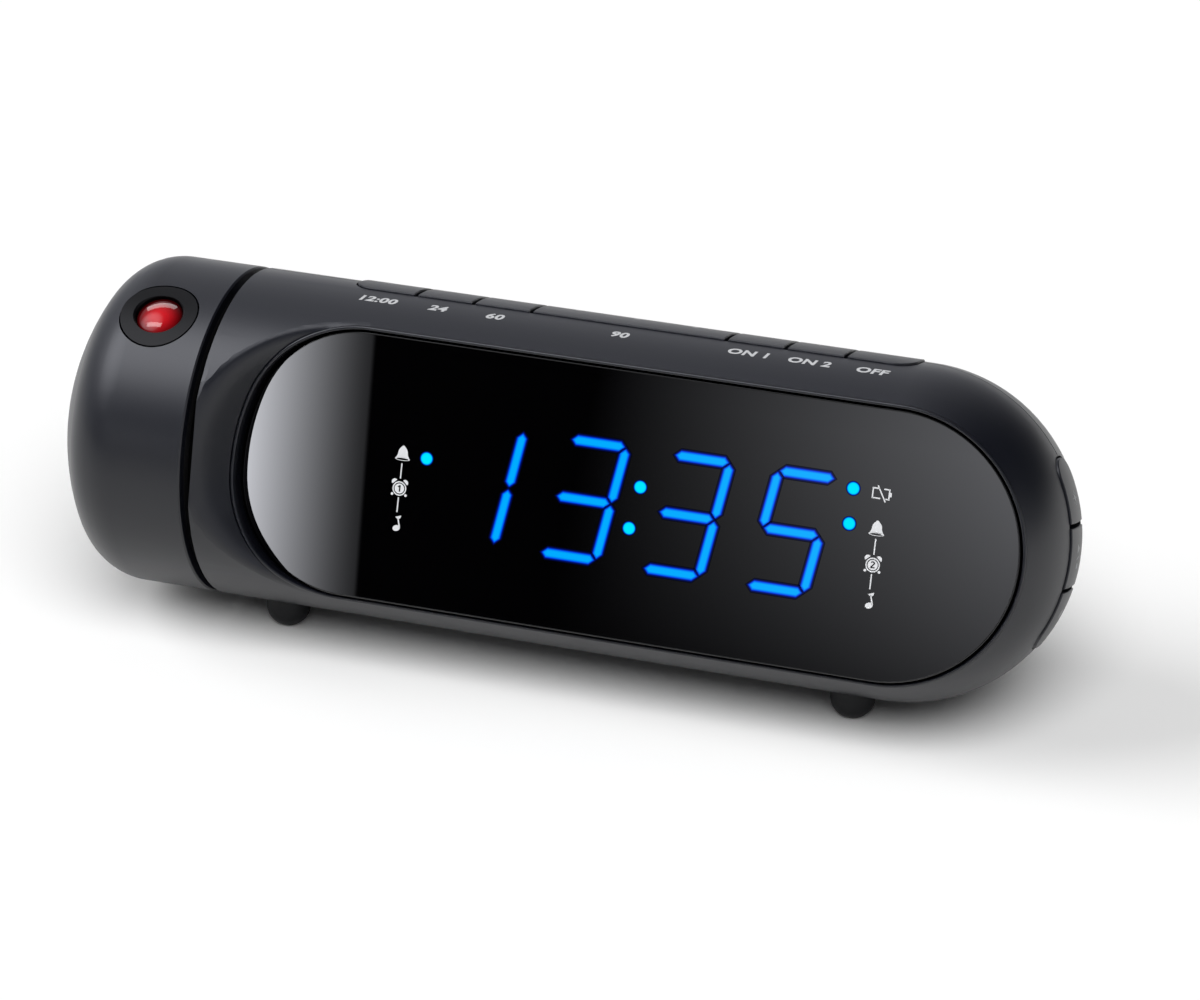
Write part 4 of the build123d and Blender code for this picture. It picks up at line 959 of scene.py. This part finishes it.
class CLOCK_OT_lens(bpy.types.Operator):
    """Make the red projector lens with its seat"""
    bl_idname = "alarm_clock.lens"
    bl_label = "Make Projector Lens"

    def execute(self, context):
        bm = bmesh.new()
        rings = []
        for r, z in LENS_PROFILE:
            points = circle(0, 0, r, LENS_SIDES) if r else [(0, 0)]
            rings.append([bm.verts.new(on_lens(x, y, z)) for x, y in points])
        for a, b in zip(rings, rings[1:]):
            for i in range(LENS_SIDES):
                j = (i + 1) % LENS_SIDES
                corners = (a[i % len(a)], b[i % len(b)], b[j % len(b)], a[j % len(a)])
                bm.faces.new(list(dict.fromkeys(corners)))     # a pole's one point counts once
        for face in bm.faces:
            face.smooth = True
        mesh = closed_mesh(bm, "red_lens")
        material, tree, shader = new_material("Red Lens", 0.04, shine=0.2)
        # Painted glow: the base colour is bright red near that point and darker red away from it
        away = vector_node(tree, "DISTANCE", object_coords(tree))
        away.inputs[1].default_value = on_lens(*LENS_PAINTED_GLOW_AT)
        tone = mix_colour(tree, ramp(tree, away.outputs["Value"], *LENS_PAINTED_GLOW_FADE), LENS_PAINTED_LIT_RED, LENS_PAINTED_SHADE_RED)
        link(tree, tone, shader.inputs["Base Color"])
        finish_piece("red_lens", mesh, material, HEAD, ["projection_lens"])
        return {"FINISHED"}


# ---------------- studio
# What shiny surfaces mirror. A way is (degrees right of straight ahead, degrees up); a fade runs from where
# it starts to where it is full, in degrees of turn or rise, or as the half angles of a cone round a way.
LEFT_WALL, LEFT_WALL_FADE, LEFT_WALL_LEVEL = (-100, 0), (-0.45, 0.6), 0.66      # this fade is in cosines
RIGHT_WALL, RIGHT_WALL_CONE, RIGHT_WALL_LEVEL = (58, 0), (58, 25), 0.72
SOFT_LAMP, SOFT_LAMP_CONE = (-66, 55), (32, 12)
FLOOR_FRONT, FLOOR_RISE, FLOOR_SHADE = (0.0, -0.5), (32.0, 16.0), 0.75
# Two cards meet at an edge that leans with the rise, above a dark gap
CARD_EDGE = -19.5
CARD_LEAN = 0.148              # sideways, per degree of rise
CARD_LEVEL = 11.0              # rise at which the lean is nothing
GAP_RIGHT, GAP_TOP = (-4.0, -8.0), (22.0, 17.0)
RIGHT_CARD_TURN, RIGHT_CARD_POWER = (-17.1, -12.0), 1.3
RIGHT_CARD_RISE, RIGHT_CARD_SHINE = (8.85, 12.2), 2.7
RIGHT_CARD_END, RIGHT_CARD_TOP = (-7.0, -10.0), (16.5, 13.5)
LEFT_CARD_END, LEFT_CARD_BASE, LEFT_CARD_TOP = (-22.6, -21.3), (6.0, 8.2), (15.5, 13.3)
LEFT_CARD_SHINE = (0.3, 1.6, 5.8)           # at the edge, then per degree and per degree squared past it
MIRROR_TINT = (0.97, 0.985, 1.05)

# Broad lights: turn, rise and spread in degrees
SUNS = (("front_light", 24, 56, 48), ("side_light", -80, 36, 46))
# Strips beside the lens: way from it, size in metres and share of their power
STRIPS = (("upper_strip", (-0.36, 0.63, 0.69), (0.52, 0.2), 1.0),
          ("lower_strip", (-0.37, -0.37, 0.85), (0.4, 0.13), 1.2))
STRIP_FAR = 0.6
TABLE_HALF, TABLE_FRONT = 3.0, -0.5
CAMERA_AT = (289.425, -841.8, 492.2)
FOCAL, SENSOR = 152.022, 36.0


def room_way(turn, rise):
    """Direction of a place in the room, from radians right of straight ahead and above the horizon."""
    return Vector((sin(turn) * cos(rise), -cos(turn) * cos(rise), sin(rise)))


def facing(side, out):
    """Turn that brings a thing's X to side and its Z to out."""
    return Matrix((side, out.cross(side), out)).transposed().to_4x4()


class CLOCK_OT_studio(bpy.types.Operator):
    """Set the table, the room light, the lamps and the camera"""
    bl_idname = "alarm_clock.studio"
    bl_label = "Set Up Studio"

    def table(self):
        mesh = bpy.data.meshes.new("table")
        mesh.from_pydata([(-TABLE_HALF, TABLE_FRONT, 0), (TABLE_HALF, TABLE_FRONT, 0),
                          (TABLE_HALF, TABLE_HALF, 0), (-TABLE_HALF, TABLE_HALF, 0)], [], [(0, 1, 2, 3)])
        table = new_object("table", mesh)
        material, tree, shader = new_material("Table", 0.9, shine=0.0)
        set_inputs(shader, Base_Color=(1, 1, 1, 1))
        mesh.materials.append(material)

    def mirrored(self, tree, lamp_shine):
        """How bright the room is in reflections: two walls, a soft lamp and two cards over a dark floor."""
        way = tree.nodes.new("ShaderNodeTexCoord").outputs["Generated"]
        split = tree.nodes.new("ShaderNodeSeparateXYZ")
        link(tree, way, split.inputs[0])
        x, y, z = split.outputs
        turn = product(tree, math_node(tree, "ARCTAN2", x, product(tree, y, -1.0)), 180 / pi)
        rise = product(tree, math_node(tree, "ARCSINE", z), 180 / pi)

        def towards(place):
            """How far a direction points towards a place in the room, as a cosine."""
            node = vector_node(tree, "DOT_PRODUCT", way)
            node.inputs[1].default_value = room_way(*map(radians, place))
            return node.outputs["Value"]

        def cone(place, halves, level):
            return ramp(tree, towards(place), *[cos(radians(half)) for half in halves], 0.0, level)

        def rest(value):
            return math_node(tree, "SUBTRACT", 1.0, value)

        left_wall = ramp(tree, towards(LEFT_WALL), *LEFT_WALL_FADE, 0.0, LEFT_WALL_LEVEL)
        floor = product(tree, ramp(tree, y, *FLOOR_FRONT), ramp(tree, rise, *FLOOR_RISE), FLOOR_SHADE)
        lean = product(tree, math_node(tree, "SUBTRACT", rise, CARD_LEVEL), CARD_LEAN)
        bent = total(tree, turn, lean)
        gap = product(tree, ramp(tree, bent, CARD_EDGE - 0.02, CARD_EDGE + 0.02), ramp(tree, bent, *GAP_RIGHT),
                      ramp(tree, rise, *GAP_TOP))
        right_card = product(
            tree, math_node(tree, "POWER", ramp(tree, turn, *RIGHT_CARD_TURN, smooth=False), RIGHT_CARD_POWER),
            ramp(tree, rise, *RIGHT_CARD_RISE, 0.0, RIGHT_CARD_SHINE, False), ramp(tree, turn, *RIGHT_CARD_END),
            ramp(tree, rise, *RIGHT_CARD_TOP))
        past = math_node(tree, "MAXIMUM", math_node(tree, "SUBTRACT", CARD_EDGE, bent), 0.0)
        edge, slope, curve = LEFT_CARD_SHINE
        left_card = product(
            tree, ramp(tree, bent, CARD_EDGE, CARD_EDGE - 0.05), ramp(tree, bent, *LEFT_CARD_END),
            total(tree, edge, product(tree, past, slope), product(tree, past, past, curve)),
            ramp(tree, rise, *LEFT_CARD_BASE), ramp(tree, rise, *LEFT_CARD_TOP))
        soft_lamp = cone(SOFT_LAMP, SOFT_LAMP_CONE, lamp_shine)
        right_wall = cone(RIGHT_WALL, RIGHT_WALL_CONE, RIGHT_WALL_LEVEL)
        return total(tree, product(tree, left_wall, rest(floor), rest(gap)), soft_lamp, right_wall, right_card,
                     left_card)

    def room(self, studio):
        """White to look at, an even light on what is matt, and the mirrored room on what shines."""
        world = bpy.data.worlds.new("Room")
        bpy.context.scene.world = world
        world.use_nodes = True
        tree = world.node_tree
        tree.nodes.clear()
        ray = tree.nodes.new("ShaderNodeLightPath").outputs
        mirror = math_node(tree, "MAXIMUM", ray["Is Glossy Ray"], ray["Is Transmission Ray"])
        seen = math_node(tree, "MAXIMUM", mirror, ray["Is Camera Ray"])
        even = product(tree, math_node(tree, "SUBTRACT", 1.0, seen), studio.room_level)
        shine = product(tree, mirror, self.mirrored(tree, studio.lamp_shine))
        backdrop = tree.nodes.new("ShaderNodeBackground")
        link(tree, mix_colour(tree, mirror, (1, 1, 1), MIRROR_TINT), backdrop.inputs["Color"])
        link(tree, total(tree, ray["Is Camera Ray"], shine, even), backdrop.inputs["Strength"])
        out = tree.nodes.new("ShaderNodeOutputWorld")
        link(tree, backdrop.outputs[0], out.inputs["Surface"])

    def lamps(self, studio):
        """Two broad soft lights, from the front and the left, and two strips that only the lens mirrors."""
        for (name, turn, rise, spread), level in zip(SUNS, (studio.front_level, studio.side_level)):
            data = bpy.data.lights.new(name, "SUN")
            data.energy = level
            data.angle = radians(spread)
            sun = new_object(name, data)
            way = room_way(radians(turn), radians(rise))
            sun.rotation_euler = way.to_track_quat("Z", "Y").to_euler()
            sun.visible_glossy = False
        lens_only = bpy.data.collections.new("lens_only")
        lens_only.objects.link(bpy.data.objects["red_lens"])
        for name, way, size, share in STRIPS:
            data = bpy.data.lights.new(name, "AREA")
            data.shape = "RECTANGLE"
            data.size, data.size_y = size
            data.energy = studio.strip_level * share
            strip = new_object(name, data)
            way = Vector(way).normalized()
            side = (Vector((1, 0, 0)) - way * way.x).normalized()
            strip.matrix_world = Matrix.Translation(on_lens(0, 0, SHELL_R) + way * STRIP_FAR) @ facing(side, way)
            strip.visible_camera = False
            strip.light_linking.receiver_collection = lens_only

    def camera(self, studio):
        back = room_way(studio.camera_turn, studio.camera_rise)
        right = Vector((cos(studio.camera_turn), sin(studio.camera_turn), 0))
        data = bpy.data.cameras.new("camera")
        data.sensor_width, data.lens = SENSOR, FOCAL
        data.clip_start, data.clip_end = 0.05, 20.0
        camera = new_object("camera", data)
        camera.matrix_world = Matrix.Translation(Vector(CAMERA_AT) * MM) @ facing(right, back)
        bpy.context.scene.camera = camera

    def execute(self, context):
        studio = settings().studio
        self.table()
        self.room(studio)
        self.lamps(studio)
        self.camera(studio)
        context.scene.view_settings.view_transform = "Standard"
        return {"FINISHED"}


class CLOCK_PT_panel(bpy.types.Panel):
    """Steps and settings of the alarm clock"""
    bl_idname = "CLOCK_PT_panel"
    bl_label = "Alarm Clock"
    bl_space_type = "VIEW_3D"
    bl_region_type = "UI"
    bl_category = "Alarm Clock"

    def draw(self, context):
        layout = self.layout
        for group in (settings().finish, settings().display, settings().studio):
            box = layout.box()
            for name in group.bl_rna.properties.keys():
                if name not in ("rna_type", "name"):
                    box.prop(group, name)
        for step in STEPS:
            layout.operator(step.bl_idname)


STEPS = (CLOCK_OT_mouldings, CLOCK_OT_window_trim, CLOCK_OT_lit_display, CLOCK_OT_window_marks,
         CLOCK_OT_shell_marks, CLOCK_OT_lens, CLOCK_OT_studio)
CLASSES = (ClockFinish, ClockDisplay, ClockStudio, ClockSettings) + STEPS + (CLOCK_PT_panel,)


def register():
    for cls in CLASSES:
        bpy.utils.register_class(cls)
    bpy.types.Scene.alarm_clock = PointerProperty(type=ClockSettings)


def unregister():
    del bpy.types.Scene.alarm_clock
    for cls in reversed(CLASSES):
        bpy.utils.unregister_class(cls)


def main():
    register()
    for step in STEPS:
        group, name = step.bl_idname.split(".")
        getattr(getattr(bpy.ops, group), name)()


if __name__ == "__main__":
    main()
